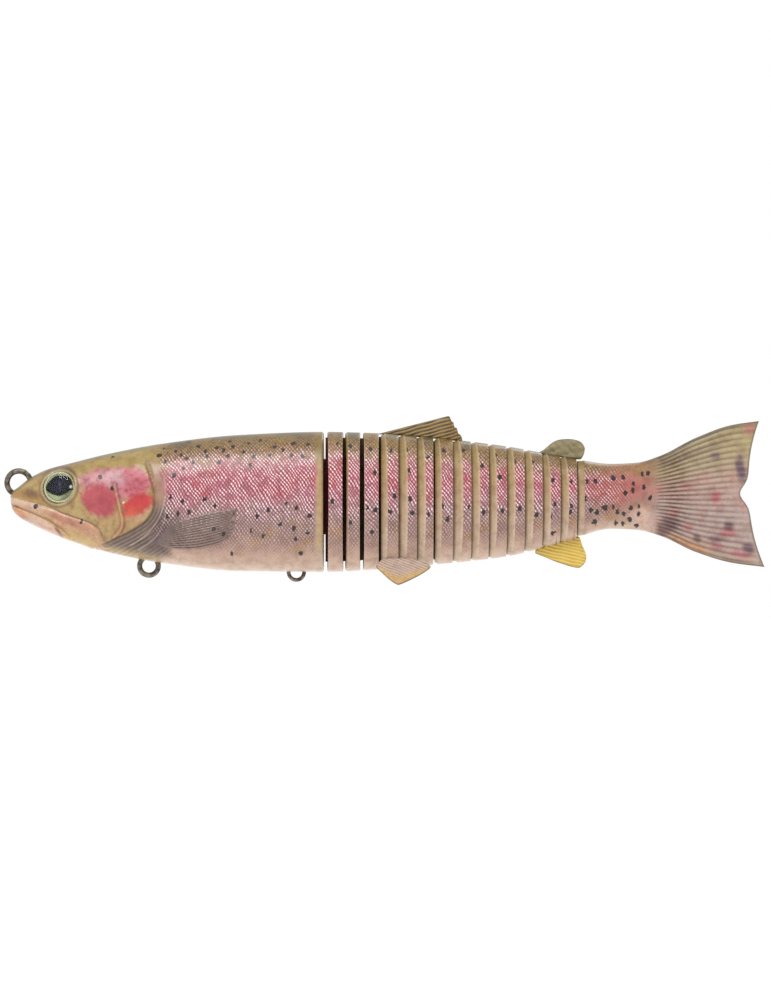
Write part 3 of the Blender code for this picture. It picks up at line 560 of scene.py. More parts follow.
def head_colour(x, z, run):
    """Colours of the head: olive crown, mottled pink cheek with two red patches, tan snout, peach
    jaw, smoky gill membrane and a grey fin, over the body's own colours."""
    body = body_colour(x, z, run)
    gill, collar, shoulder = (from_line(x, z, line) for line in (GILL, COLLAR, SHOULDER))
    gape, lip, cheek = (from_line(x, z, line) for line in (GAPE, LIP, CHEEK))
    grime = ease(drift(x, run, 3.4, 51) + 0.5 * drift(x, run, 1.5, 52), 0.0, 1.2)
    top = (back(x) - z) / 3.2
    front = over(np.full(x.shape + (3,), (190, 162, 108.0)), (178, 154, 88), ease(z, 0.5, 4.0))
    front = over(front, (122, 112, 74), ease(top, 0.55, 0.0) * 0.9)
    front = over(front, (168, 128, 72), grime * 0.55)
    front = over(front, (192, 148, 84), oval(x, z, (4.5, -4.6), (5.5, 1.0), -14, 0.6) * 0.7)
    below = ease(lip, 0.25, -0.25) * ease(x, 26.5, 24)
    front = over(front, (226, 192, 170), below * ease(x, 14, 4))
    front = over(front, (210, 166, 124), below * ease(x, 5, 13))
    front = over(front, (232, 196, 160), below * ease(drift(x, z, 2.8, 54), 0.2, 1.2) * 0.6)
    front = over(front, (198, 118, 106), oval(x, z, (15.5, -11.3), (7.0, 1.0), -20, 0.7) * 0.6)
    jaw = ease(gape, 0.15, -0.25)
    front = over(front, (228, 196, 172), jaw)
    front = patches(front, x, z, (
        ((232, 172, 150), (9.0, -13.9), (5.0, 1.3), -24, 0.8, 0.45),
        ((220, 142, 96), (0.6, -9.2), (2.5, 1.3), -35, 0.6, 0.85),
        ((216, 182, 108), (17.0, -16.2), (6.0, 1.6), -17, 0.7, 0.8),
    ))
    for at, ink, depth in ((-0.02, (146, 92, 58), 0.55), (-0.42, (240, 190, 134), 0.7),
                           (0.75, (176, 116, 66), 0.45), (1.25, (222, 172, 112), 0.5)):
        stripe = bell(gape, at, 0.2) * ease(x, -1.6, 0.5) * ease(x, 17, 13)
        front = over(front, ink, stripe * depth)
    colour = body + ease(x + 0.8 * drift(x, z, 7, 2), 43.0, 38.5)[..., None] * (front - body)
    speck = ease(drift(x, z, 2.2, 14) + 0.6 * drift(x, z, 0.9, 15), 0.0, 1.0)
    pink = oval(x, z, (27.6, -0.6), (9.6, 4.4), -3, 0.22)
    colour = over(colour, (206, 138, 142), pink)
    colour = over(colour, (178, 84, 98), pink * speck * 0.7)
    band = oval(x, z, (34.0, -0.4), (4.4, 4.2), 0, 0.3)
    colour = over(colour, (206, 100, 116), band * 0.85)
    colour = over(colour, (176, 64, 82), band * speck * 0.7)
    colour = patches(colour, x, z, (
        ((216, 180, 190), (28.8, 0.6), (3.2, 2.0), -20, 0.7, 0.6),
        ((214, 158, 140), (34.5, -9.6), (4.6, 1.5), 35, 0.6, 0.6),
        ((196, 86, 96), (23.8, -5.2), (4.9, 4.3), -25, 0.16, 0.95),
        ((180, 72, 84), (26.4, -7.0), (2.4, 3.6), -20, 0.5, 0.6),
        ((206, 62, 66), (34.8, -6.4), (4.4, 2.5), 24, 0.3, 1),
        ((218, 92, 70), (33.2, -8.4), (2.8, 1.4), 20, 0.6, 0.8),
        ((186, 152, 96), (30.6, -13.4), (4.6, 1.8), 40, 0.5, 0.8),
    ))
    smoke = (ease(gill, -0.1, 0.9) * ease(z, -4.5, -9.5) * ease(x, 45, 41.5)
             * ease(z - belly(x), 0.8, 3.6))
    colour = over(colour, (118, 98, 92), smoke * 0.85)
    # The gill membrane's fine lines are painted light: darker in the grooves between its moulded
    # folds as painted shade, paler on the folds as painted highlight.
    line = 0.5 + 0.5 * np.cos(2 * np.pi * gill / 0.95)
    colour = over(colour, (78, 60, 56), smoke * ease(line, 0.5, 0.05) * 0.6)
    colour = over(colour, (188, 164, 146), smoke * ease(line, 0.8, 1.0) * 0.4)
    colour = over(colour, (172, 140, 116), ease(gill, -0.3, 0.9) * ease(collar, 0.8, -0.6)
                  * ease(z, -9, -4) * ease(z, 8, 3) * 0.7)
    low, high = fin_share(x)
    share = (z - low) / np.maximum(high - low, 0.01)
    fin = ease(np.minimum(z - low, high - z), -0.3, 0.5) * ease(x, 38.5, 41.5) * ease(x, 63.3, 62.4)
    shade = 0.5 + 0.5 * np.cos(2 * np.pi * 13 * share)
    colour = over(colour, (142, 116, 108), fin * 0.9)
    colour = over(colour, (172, 146, 132), fin * ease(shade, 0.45, 0.0) * 0.6)
    colour = over(colour, (66, 48, 48), fin * ease(shade, 0.6, 1.0) * 0.8 * ease(x, 41, 45))
    colour = over(colour, (112, 94, 92), oval(x, z, (42, -14.8), (6, 2.4), 50, 0.6) * 0.7)
    # Painted light along the moulded relief: the pale lines on the collar, shoulder and cheek
    # ridges are painted highlight; the darker lines in the grooves beside the cheek, under the gill
    # cover's edge and along the lip are painted shade.
    for line, depth in ((collar, 0.75), (shoulder, 0.7)):
        colour = over(colour, (218, 196, 188), bell(line, 0, 0.17) * depth * ease(z, 5, 0))
    colour = over(colour, (220, 180, 130), bell(cheek, 0, 0.2) * 0.75)
    colour = over(colour, (138, 58, 52), bell(cheek, 0.6, 0.26) * 0.5)
    colour = over(colour, (170, 84, 74), bell(cheek, -0.6, 0.3) * 0.4)
    edge = bell(gill, 0.35, 0.28) * ease(z, 7, 4)
    colour = over(colour, (96, 66, 54), edge * (0.25 + 0.35 * ease(z, -4, -9)))
    colour = over(colour, (112, 66, 62), bell(lip, 0, 0.16) * 0.7 * ease(x, 8, 12))
    colour = patches(colour, x, z, (
        ((126, 66, 50), (12.0, -14.6), (1.7, 0.42), -58, 0.7, 0.85),
        ((112, 80, 54), (4.3, -3.4), (2.4, 1.1), -16, 0.9, 0.75),
    ))
    colour = over(colour, (112, 82, 56), ease(np.abs(np.hypot(x - 12.2, z + 1.3) - 5.5), 0.9, 0.0)
                  * ease(z, 0.5, 3.5) * 0.75)
    colour = over(colour, (250, 232, 222), oval(x, z, (30.8, -5.9), (0.3, 0.3), 0, 0.6))
    bare = ease(x + 0.12 * drift(x, z, 6, 31), 84.9, 85.2)
    rear = over(np.full(x.shape + (3,), (194, 164, 120.0)), (146, 122, 66), ease(z, 2, 10))
    rear = over(rear, (208, 184, 160), ease(z, -16, -22))
    return colour + bare[..., None] * (rear - colour)


HEAD_SPOTS = [(44, -4.7), (47.4, -5.9), (53.7, -5.2), (56.6, -7.1), (46.2, -9.3), (49.3, -8.8),
              (43.1, -10), (68.5, -10.1), (71.6, -8.1), (76.5, -6.4), (79.4, -7.8), (83.2, -9.8),
              (66.7, -14), (74.8, -12.3), (78.8, -13.5), (82.6, -14.7), (79.2, -16.4),
              (80.6, -20.4), (61, -20.7), (59, -14.9), (56.2, -13.6), (27.2, 6.8), (24, 1.2),
              (40.6, 7.2), (41.6, 9.2), (45.2, 8.4), (51.5, 9.8), (56.8, 9.4), (61.2, 9.6),
              (48.4, 6.2), (54.2, 7.0), (60.0, 7.0), (64.6, 8.2), (65.8, 10.6), (73.2, 9.6),
              (78.4, 10.6), (71.8, 7.0), (78.0, 7.2), (81.1, 6.8), (50.4, 5.2), (42.4, 5.4),
              (5.6, -7.1), (18.6, -11.5), (60.4, 11.2), (69.2, 11.6), (27.4, -2.1), (44.6, 11.4),
              (48.6, 11.2), (46.8, 7.4), (58.8, 8.6), (67.4, 6.8), (75.6, 8.6), (53.6, 8.4),
              (82.6, 10.2), (66.4, 4.6), (57.6, 5.0), (70.0, -15.6), (47.6, 3.4), (45.0, 1.6)]


def head_half(name, side):
    """One shell: sections from snout to rear lip on one side of the mid-line, pushed out along
    their normals by head_relief, with a pocket for the eye, closed on the joint and at the rear."""
    rows, columns = 270, 190
    t = np.linspace(0, 1, rows)
    x = -2.46 + (HEAD_REAR + 2.46) * (t * 0.82 + 0.18 * t**2.6)
    lean = np.linspace(-1, 1, columns)
    turn = np.pi / 2 * (0.75 * lean + 0.25 * np.sin(np.pi / 2 * lean))
    X, turn = np.meshgrid(x, turn, indexing="ij")
    y, z = section(X, turn)
    p = np.stack([X, side * y, z], -1)
    out = outward(p) * -side
    out[0] = (-1, 0, 0)
    rise = head_relief(X, z) * ease(np.abs(y), 0.4, 2.5) * ease(X, HEAD_REAR - 0.1, HEAD_REAR - 3)
    rise -= 0.10 * bell(y, 0, 0.22)
    rise -= 0.42 * ease(X, HEAD_REAR - 0.45, HEAD_REAR) ** 2
    lay = np.stack([X, girth(p, columns // 2), 0 * X], -1)
    p = p + out * rise[..., None]
    p[..., 1] = side * np.maximum(side * p[..., 1], 0.03)
    centre, rear, up, face = eye_frame(side)
    local = p - centre
    u, v, h = local @ rear, local @ up, local @ face
    far = np.hypot(u, v)
    # Points near the pocket's wall are drawn to one side of it, and those inside go to its floor
    outer = side * p[..., 1]
    split = np.where(far < 4.75, np.minimum(far + 0.12, 4.74), np.maximum(far - 0.25, 4.76))
    ring = np.where((outer > 1) & (far < 5.35), split, far)
    keep = ring / np.maximum(far, 1e-6)
    h = np.where((outer > 1) & (far < 4.75), -1.45, h)
    lid = 0.42 * bell(ring, 5.15, 0.42) * (ring > 4.75) * ease(far, 9, 7)
    h = h + np.where(outer > 0.5, lid, 0)
    moved = centre + (u * keep)[..., None] * rear + (v * keep)[..., None] * up + h[..., None] * face
    p = np.where(((far < 7.5) & (outer > 0.5))[..., None], moved, p)
    colour = head_colour(X, z, lay[..., 1])
    rim = bell(ring, 5.0, 0.28) * (far < 8) * (side * p[..., 1] > 0)
    colour = over(colour, (206, 190, 142), rim * 0.75)
    colour = over(colour, (96, 76, 56), bell(ring, 5.75, 0.3) * (far < 8) * 0.45)
    scale, glint = body_marks(X, z)
    clear = ease(from_line(X, z, COLLAR), -0.5, 1.5) * ease(X, 85.0, 84.2)
    clear = clear * ease(X + 1.5 * drift(X, lay[..., 1], 5, 19), 35.5, 43 - 3 * ease(z, 6, 2))
    low, top = fin_share(X)
    clear = clear * (1 - ease(np.minimum(z - low, top - z), -0.4, 0.3) * ease(X, 38, 41)
                     * ease(X, 63.3, 62.4))
    spots = dots(X, lay[..., 1], HEAD_SPOTS, 0.92, run_at) * ease(X, 85, 84)
    marks = np.stack([scale * clear, spots, glint * clear], -1)
    return make(f"head_{name}", p, tube(rows, columns), head_paint, colour, marks, lay)


head_paint = skin_finish("airbrushed_shell", 0.34)
for name, side in SIDES:
    shell = head_half(name, side)
    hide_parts(f"head_shell_{name}")
    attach(shell, "head")


# Eyes. Each is a printed foil disc at the bottom of its pocket, with a gold ring, a smoky green
# iris and a blue-black pupil drawn out towards the snout, under a dome of clear resin. The
# disc's colours also hold a painted highlight and painted reflections.
def eye_print(name, side):
    """A disc of rings round the eye's axis, and its colours by distance from the pupil's edge."""
    radii = np.concatenate([np.linspace(0.02, 4.6, 70), [4.6, 0.02]])
    drop = np.concatenate([np.full(70, -0.5), [-1.4, -1.4]]) - 0.06 * (radii / 4.6) ** 2
    angle = np.linspace(0, 2 * np.pi, 120, endpoint=False)
    R, A = np.meshgrid(radii, angle, indexing="ij")
    u, v = R * np.cos(A), R * np.sin(A)
    centre, rear, up, face = eye_frame(side)
    p = centre + u[..., None] * rear + v[..., None] * up + drop[:, None, None] * face
    c, s = math.cos(0.22), math.sin(0.22)
    a, b = (u + 0.05) * c + (v - 0.45) * s, (v - 0.45) * c - (u + 0.05) * s
    pupil = np.hypot(a / 3.85, b / (2.85 - 0.75 * ease(-a, 0.3, 3.8)))
    colour = np.full(u.shape + (3,), (190, 196, 160.0))
    colour = over(colour, (120, 122, 92), ease(u - 0.4 * v, 0.8, 3.2) * 0.7)
    colour = over(colour, (96, 100, 76), ease(pupil, 1.14, 1.02) * 0.8)
    colour = over(colour, (132, 126, 90), bell(R, 3.82, 0.13) * 0.8)
    colour = over(colour, (244, 240, 206), ease(R, 3.95, 4.1))
    colour = over(colour, (210, 196, 164), ease(R, 3.95, 4.1) * ease(u, 1, 4) * 0.7)
    colour = over(colour, (140, 128, 88), ease(R, 4.36, 4.46) * 0.8)
    colour = over(colour, (10, 12, 16), ease(pupil, 1.03, 0.97))
    colour = over(colour, (38, 42, 66), ease(pupil, 0.9, 0.5) * 0.7)
    # Painted reflection: a lighter blue-grey streak across the pupil.
    colour = over(colour, (112, 116, 140), bell(a - 0.12 * b, 0.2, 0.32)
                  * ease(np.abs(b), 2.2, 0.4) * 0.55)
    # Painted highlight: a white spot on the iris, with a dark painted reflection under it.
    colour = patches(colour, u, v, (
        ((232, 234, 236), (3.3, 0.0), (0.42, 0.42), 0, 0.4, 1),
        ((12, 14, 12), (3.0, -0.8), (1.1, 0.3), 8, 0.4, 1),
    ))
    return make(f"eye_disc_{name}_print", p, tube(len(radii), 120), foil, colour)


def eye_dome(name, side):
    """A flat-backed dome: the top is a quarter of an ellipse turned about the eye's axis."""
    q = np.linspace(np.pi / 2 - 0.004, 0, 28)
    radii = np.concatenate([4.6 * np.cos(q), [4.6, 4.5, 0.02]])
    high = np.concatenate([0.2 + np.sin(q), [-0.12, -0.2, -0.2]])
    angle = np.linspace(0, 2 * np.pi, 96, endpoint=False)
    R, A = np.meshgrid(radii, angle, indexing="ij")
    centre, rear, up, face = eye_frame(side)
    p = centre + (R * np.cos(A))[..., None] * rear + (R * np.sin(A))[..., None] * up \
        + high[:, None, None] * face
    return make(f"eye_lens_{name}_dome", p, tube(len(radii), 96), resin)


foil = Finish("eye_foil", Specular_IOR_Level=0.08)
foil_grain = foil.noise(3000.0, 3.0)
foil.use(Base_Color=foil.mix(foil_grain.ease(0.3, 0.75) * 0.35, foil.layer("paint", "Color"),
                             (0.5, 0.5, 0.52, 1), "MULTIPLY"),
         Roughness=0.28 + foil_grain * 0.2, Normal=foil.bump(foil_grain, 0.00003, 0.4))

resin = Finish("eye_resin_clear", Roughness=0.03)
resin.shader.inputs["Base Color"].default_value = (1, 1, 1, 1)
clear = resin.node("BsdfTransparent", {}, {"Color": (0.97, 0.98, 0.96, 1)})
gloss = resin.node("BsdfGlossy", {}, {"Color": (1, 1, 1, 1), "Roughness": 0.04})
edge = resin.node("Fresnel", {}, {"IOR": 1.22})
wavy = resin.noise(900.0, 2.0)
resin.tree.links.new(resin.bump(wavy, 0.00002, 0.4).socket, gloss.socket.node.inputs["Normal"])
both = resin.node("MixShader", {}, {0: edge * (wavy * 0.1 + 0.95), 1: clear, 2: gloss})
resin.tree.links.new(both.socket, resin.tree.nodes["Material Output"].inputs["Surface"])

for name, side in SIDES:
    printed, dome = eye_print(name, side), eye_dome(name, side)
    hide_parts(f"eye_disc_{name}")
    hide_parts(f"eye_lens_{name}")
    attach(printed, "head")
    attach(dome, "head")


# Wires. The line tie and the two hook hangers are stainless wire bent into a loop outside the
# shell and a smaller one inside, which sits round a post moulded in the shells.
def wire_path(ring_at, ring, anchor_at, anchor, wire, steps=150):
    """Closed line round both loops: its half width is the fifth-power mean of the two circles and
    of the waist between them."""
    a, b = np.array(ring_at), np.array(anchor_at)
    reach = np.linalg.norm(b - a)
    along = (b - a) / reach
    beside = np.array([along[1], -along[0]])
    angle = 2 * np.pi * (np.arange(steps) + 0.5) / steps
    at = -ring + (ring + reach + anchor) * (1 - np.cos(angle)) / 2
    one = np.sqrt(np.maximum(ring**2 - at**2, 0))
    two = np.sqrt(np.maximum(anchor**2 - (at - reach) ** 2, 0))
    neck = np.where((at > 0) & (at < reach), wire + 0.45, 0)
    wide = (one**5 + two**5 + neck**5) ** 0.2 * np.sign(np.sin(angle))
    return a + at[:, None] * along + wide[:, None] * beside


def wire_loop(name, path, wire):
    """A round section of 24 points carried along the closed path, with drawing marks along it."""
    ahead = np.roll(path, -1, 0) - np.roll(path, 1, 0)
    ahead /= np.linalg.norm(ahead, axis=1, keepdims=True)
    out = np.stack([ahead[:, 1], -ahead[:, 0]], -1)
    angle = np.linspace(0, 2 * np.pi, 24, endpoint=False)
    side = wire * np.cos(angle)
    xz = path[:, None] + out[:, None] * side[None, :, None]
    y = np.broadcast_to(wire * np.sin(angle), xz.shape[:2])
    p = np.stack([xz[..., 0], y, xz[..., 1]], -1)
    run = np.cumsum(np.linalg.norm(np.diff(path, axis=0, prepend=path[:1]), axis=1))
    lay = np.stack(np.broadcast_arrays(run[:, None], angle[None, :], 0.0), -1)
    made = make(name, p, [quads(len(path), 24, (True, True))], steel, lay=lay)
    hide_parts(name.replace("_wire", ""))
    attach(made, "head")


steel = Finish("tarnished_steel", Metallic=1.0)
steel_run, steel_turn, _ = steel.split(steel.layer("lay"))
drawn = steel.node("TexNoise", {}, {"Vector": steel.node("CombineXYZ", {}, {
    0: steel_run * 0.35, 1: (steel_turn.sine()) * 5.0, 2: (steel_turn * 1.0 + 1.57).sine() * 5.0}),
    "Scale": 1.6, "Detail": 4.0})
stain = steel.noise(700.0, 4.0)
steel.use(Base_Color=steel.mix(stain.ease(0.35, 0.7), (0.045, 0.038, 0.030, 1),
                               (0.20, 0.175, 0.135, 1)),
          Roughness=0.2 + stain * 0.28 + drawn * 0.1, Normal=steel.bump(drawn, 0.00004, 0.7))
front_low, rear_low = belly(37.1) - 1.45, belly(79.1) - 0.1
for name, ring_at, ring, anchor_at, anchor, wire in (
    ("line_tie_wire", (0.0, -0.3), 3.35, (4.8, -6.4), 2.3, 0.8),
    ("hook_hanger_front_wire", (37.1, front_low), 2.65, (37.1, front_low + 6.6), 1.9, 0.75),
    ("hook_hanger_rear_wire", (79.1, rear_low), 2.2, (79.1, rear_low + 6.6), 1.9, 0.55),
):
    wire_loop(name, wire_path(ring_at, ring, anchor_at, anchor, wire), wire)


# Ballast and pins. Two cast lead bars lie in the belly and two brass pins cross the mid-line
# through the fabric's tab. All are closed inside the head, and keep their shape from the design.
lead = Finish("cast_lead", Metallic=1.0)
crust = lead.noise(900.0, 6.0)
lead.use(Base_Color=lead.mix(crust, (0.10, 0.10, 0.11, 1), (0.27, 0.27, 0.28, 1)),
         Roughness=0.45 + crust * 0.3, Normal=lead.bump(crust, 0.0001, 0.8))
brass = Finish("turned_brass", Metallic=1.0)
turned = brass.node("TexNoise", {}, {"Vector": brass.node("Mapping", {}, {
    0: brass.place(), "Scale": (300.0, 4000.0, 300.0)}), "Scale": 1.0, "Detail": 3.0})
brass.use(Base_Color=brass.mix(turned, (0.42, 0.28, 0.09, 1), (0.70, 0.52, 0.22, 1)),
          Roughness=0.25 + turned * 0.2, Normal=brass.bump(turned, 0.00003, 0.5))
for name, finish in (("ballast_front", lead), ("ballast_rear", lead),
                     ("spine_pin_upper", brass), ("spine_pin_lower", brass)):
    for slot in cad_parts[name].material_slots:
        slot.material = finish.material


# Spine web. One piece of close-woven fabric runs through every slice on the mid-plane and is
# pinned in the head and glued in the tail. It is cut here at the middle of each slice.
def joint_x(number):
    """The middle of the gap in front of slice `number`, or of the tail for 15."""
    return HEAD_REAR + GAP / 2 + (number - 1) * (SLICE + GAP)


def slice_middle(number):
    """x at the middle of a slice."""
    return joint_x(number) + GAP / 2 + SLICE / 2


def body_name(number):
    """Body 0 is the head and body 15 the tail."""
    return "head" if number == 0 else "tail" if number == 15 else f"slice_{number:02d}"


def web_edges(x):
    """Lower and upper edge of the fabric at x: it follows the belly and the back, and is a
    narrower tab inside the head."""
    tab = x < joint_x(1) - 0.01
    tight = ease(x, slice_middle(3) - 0.5, slice_middle(3) + 0.5)
    low = np.where(tab, belly(HEAD_REAR) + 10.7, belly(x) + 2.9 - 1.4 * tight)
    return low, np.where(tab, back(HEAD_REAR) - 7.7, back(x) - 1.6 + 0.6 * tight)


def web_piece(number):
    """A thin loop round the fabric's section carried along x, capped at both ends."""
    start = 72.9 if number == 1 else slice_middle(number - 1)
    end = 168.1 if number == 15 else slice_middle(number)
    x = np.linspace(start, end, int((end - start) / 0.25) + 2)
    if number == 1:
        x = np.sort(np.r_[x, joint_x(1) - 0.02, joint_x(1)])
    low, high = web_edges(x)
    t = np.linspace(0, 1, 60)
    share = np.r_[t, t[::-1]]
    y = np.r_[-0.4 * (1 - np.abs(2 * t - 1) ** 24), 0.4 * (1 - np.abs(2 * t - 1) ** 24)]
    z = low[:, None] + (high - low)[:, None] * share
    p = np.stack([np.broadcast_to(x[:, None], z.shape), np.broadcast_to(y, z.shape), z], -1)
    # The fabric is brown, reddened near the head by overspray; past the fourth joint it is
    # lightened to tan as painted light, standing in for light that reaches into the gaps.
    web_colour_and_painted_light = over(np.full(z.shape + (3,), (116, 84, 62.0)), (150, 40, 48),
               ease(p[..., 0], joint_x(2) - 2, joint_x(2) - 3))
    web_colour_and_painted_light = over(web_colour_and_painted_light, (186, 156, 120), ease(p[..., 0], joint_x(4) + 2, joint_x(4) + 4))
    made = make(f"spine_web_{number:02d}", p, tube(len(x), 120), weave, web_colour_and_painted_light)
    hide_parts("spine_web")
    at = joint_x(number) * 0.001
    body_name(number - 1)
    body_name(number)
    at - 0.0011
    at + 0.0011
    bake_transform(made)
    tall = high - low
    return made, (end - start, float(tall.max()), float(np.sum(tall[1:] * np.diff(x))))


weave = Finish("woven_web", Sheen_Weight=0.3, Sheen_Roughness=0.5)
wx, _, wz = weave.split(weave.place())
warp, weft = (wx * (2 * math.pi / 0.00042)).sine(), (wz * (2 * math.pi / 0.00042)).sine()
threads = warp * weft
fibre = weave.noise(5200.0, 4.0)
weave.use(Base_Color=weave.mix((threads * 0.25 + fibre).ease(0.85, 0.2) * 0.8,
                               weave.layer("paint", "Color"), (0.30, 0.24, 0.20, 1), "MULTIPLY"),
          Roughness=0.75 + fibre * 0.2, Normal=weave.bump(threads + fibre, 0.00006, 0.9))
web = [web_piece(number) for number in range(1, 16)]


# Slices. Fourteen thin rings of solid resin are threaded on the fabric. Each is sprayed with the
# body's colours on its rim and left bare on its faces; its front face leans back to the flanks,
# so that the body can bend.
BODY_SPOTS = [(90.8, 10.7), (89.5, -5.6), (94.5, 10.0), (94.7, -11.4), (100.3, 9.2), (101.4, 2.6),
              (99.5, -7.4), (101.6, -8.2), (100.8, -14.2), (106.1, 8.9), (107.0, -3.9),
              (105.6, -8.5), (110.6, 9.2), (111.4, -4.8), (112, -9.0), (116.5, 7.1), (116.6, -9.3),
              (121.0, 8.9), (120.6, -6.9), (122, -10.6), (126.5, 9.1), (128, -7.2), (131.8, 4.8),
              (132.3, -8.7), (130.5, -10.5), (135.5, 7.6), (136.8, 1.3), (137.6, -8.2), (141, 5.9),
              (142.4, -7.7), (146.1, 5.9), (147.2, -9.7), (151.9, 0.8), (152.4, -6.5), (151, -10.2),
              (152, -15.0), (157, 0.1), (157.1, -7.0), (156.6, -8.7), (111.0, 3.2), (126.0, -13.0)]


def bare_colour(z, x):
    """Unpainted resin and overspray on a face: olive near the back, tan, paler at the belly."""
    share = (z - belly(x)) / (back(x) - belly(x))
    stops = np.array([(0, 222, 196, 170), (0.2, 206, 178, 152), (0.5, 198, 168, 132),
                      (0.8, 182, 154, 102), (1, 148, 124, 70)])
    return np.stack([np.interp(share, stops[:, 0], stops[:, k]) for k in (1, 2, 3)], -1)


# How far the painted rim starts behind each slice's front face at the flank, and how far its rear
# edge reaches over the gap behind
SLICE_SHOULDER = (0.5, 1.0, 0.5, 1.9, 2.5, 2.5, 1.9, 2.9, 2.6, 2.3, 2.4, 2.5, 2.35, 2.4)
SLICE_LIP = (0.45, 0.2, 0.45, 0.95, 1.05, 0.65, 1.1, 1.2, 1.1, 1.1, 1.1, 1.1, 1.1, 0.75)


def slice_ring(number):
    """Closed profile carried round the section: out over the front face, up a sloping shoulder
    that tucks under the slice in front, along the painted rim to its overhanging rear edge, in
    over the dished rear face and back through the slot for the fabric."""
    front = joint_x(number) + GAP / 2
    rear = front + SLICE
    tight = number > 3
    shoulder, lip = SLICE_SHOULDER[number - 1], SLICE_LIP[number - 1]
    turn = 2 * np.pi * (np.arange(340) + 0.5) / 340
    round_side = np.abs(np.cos(turn)) ** (2 / SQUARE)
    y, z = section(front, turn)
    lean = math.tan(math.radians(6.7 if tight else 2.5))
    low, high = belly(front) + (1.2 if tight else 2.6), back(front) - (0.7 if tight else 1.3)
    slot_y = 0.7 * np.clip(np.cos(turn) * 9, -1, 1)
    slot_z = (low + high) / 2 + (high - low) / 2 * np.sin(turn)
    deep = min(1.35, 0.3 + 0.5 * shoulder) * (0.45 + 0.55 * round_side)
    begin = front + np.maximum(shoulder * (0.55 + 0.45 * round_side),
                               np.abs(y) * lean * (not tight))
    rings, bare, depths = [], [], []

    def add(x, y, z, face, depth=1.0):
        """One ring of the profile: where it runs, its share of bare face and of shade."""
        rings.append(np.stack(np.broadcast_arrays(x, y, z), -1))
        bare.append(np.full(turn.shape, float(face)))
        depths.append(np.full(turn.shape, float(depth)))

    def rim(x, inset, face, depth=0.0):
        """A ring on the body's section at x, drawn in by the inset."""
        wide, tall = half_width(x), (back(x) - belly(x)) / 2
        y, z = section(x, turn)
        middle = belly(x) + tall
        add(x, y * (1 - inset / wide), middle + (z - middle) * (1 - inset / tall), face, depth)

    def dish(at_y):
        """How far the rear face is hollowed, growing from 5 mm off the mid-plane."""
        return np.clip(np.abs(at_y) - 5.0, 0, 6) * (0.20 if number > 2 else 0.11)

    def face_x(at_y):
        """x on the front face, which leans back with the distance from the mid-plane."""
        return front + (0.04 if tight else np.abs(at_y) * lean)

    foot_y, foot_z = y * (1 - deep / 11) * 0.985, (low + high) / 2 + (z - (low + high) / 2) * 0.9
    for share in (0.0, 0.4, 0.8):
        at_y = slot_y + (foot_y - slot_y) * share
        add(face_x(at_y), at_y, slot_z + (foot_z - slot_z) * share, 1)
    foot_x = face_x(y - np.sign(y) * deep) + 0.06
    for share in np.linspace(0, 1, 8):
        rim(foot_x + (begin - foot_x) * share, deep * (1 - share) ** 0.8 + 0.02, 1, 1 - share)
    rim(begin + 0.12, 0.0, 0.25)
    end = rear + lip
    for share in np.linspace(0, 1, 17)[1:-1]:
        rim(begin + 0.12 + (end - begin - 0.34) * share, 0.0, 0)
    for step, inset, face in ((0.16, 0.01, 0.1), (0.05, 0.07, 0.6), (0.0, 0.2, 1), (0.06, 0.36, 1)):
        rim(end - step, inset, face, 0.4 * face)
    inner_y, inner_z = y * (1 - 1.0 / 11), (low + high) / 2 + (z - (low + high) / 2) * 0.93
    for share in (1.0, 0.7, 0.35, 0.0):
        at_y = slot_y + (inner_y - slot_y) * share
        add(rear - dish(at_y), at_y, slot_z + (inner_z - slot_z) * share, 1)
    p, bare, depth = (np.stack(part, 1) for part in (rings, bare, depths))
    X, z = p[..., 0], p[..., 2]
    run = np.broadcast_to(rise_of(turn, front)[:, None], X.shape)
    colour = body_colour(X, z, run)
    # The bare faces carry painted light: the lighter tone where they meet the painted rim is
    # painted highlight, and the darkening the deeper they lie in the gaps is painted shade.
    bare_with_painted_light = over(bare_colour(z, X), (236, 208, 178), ease(depth, 0.35, 0.0) * 0.5)
    bare_with_painted_light = over(bare_with_painted_light, (116, 88, 60), ease(depth, 0.55, 1.0) * 0.5)
    if number == 1:
        bare_with_painted_light = over(bare_with_painted_light, (150, 44, 50), ease(z, -15, -8) * ease(z, 10, 2) * 0.85)
    colour = colour + bare[..., None] * (bare_with_painted_light - colour)
    scale, glint = body_marks(X, z)
    lay = np.stack([X, run, 0 * X], -1)
    marks = np.stack([scale * (1 - bare), dots(X, run, BODY_SPOTS, 0.98, run_at) * (1 - bare),
                      glint * (1 - bare)], -1)
    made = make(f"slice_{number:02d}_ring", p, [quads(340, p.shape[1], (True, True))], slice_paint,
                colour, marks, lay, sharp=38)
    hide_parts(f"slice_{number:02d}")
    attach(made, f"slice_{number:02d}")


slice_paint = skin_finish("airbrushed_slice", 0.38)
for number in range(1, 15):
    slice_ring(number)


# Tail. The peduncle and the forked fin are one flexible moulding. Fine rays stand out on the fin,
# which is sprayed olive above and smoky pink below, with dark blotches.
TAIL_SPOTS = [(161.7, 0.0), (164.0, 0.2), (169.1, 1.0), (171.9, 1.2), (174.8, -0.5), (174.6, -2.4),
              (177.8, -1.7), (172.5, -3.2), (179.7, -4.7), (177.4, 2.3), (179, 2.3), (166.6, -7.4),
              (169.1, -7.0), (162.7, -8.1), (164.4, -8.7), (170.2, -8.7), (172.1, -9.1),
              (174, -7.4), (176.3, -7.0), (173.8, -10.6), (169.9, -11.7), (171.9, -11.9),
              (175.9, -12.3), (163.8, -11.5), (160.4, -13.2), (176.3, -9.2), (160.9, -4.9)]


def fork(t):
    """How far the fin's rear edge lies in front of its lower tip at t from -1 to 1 up the fin."""
    return 2.6 * bell(t, 0, 0.15) + 4.4 * (1 - np.abs(t) ** 2.2) + 1.6 * np.maximum(t, 0)


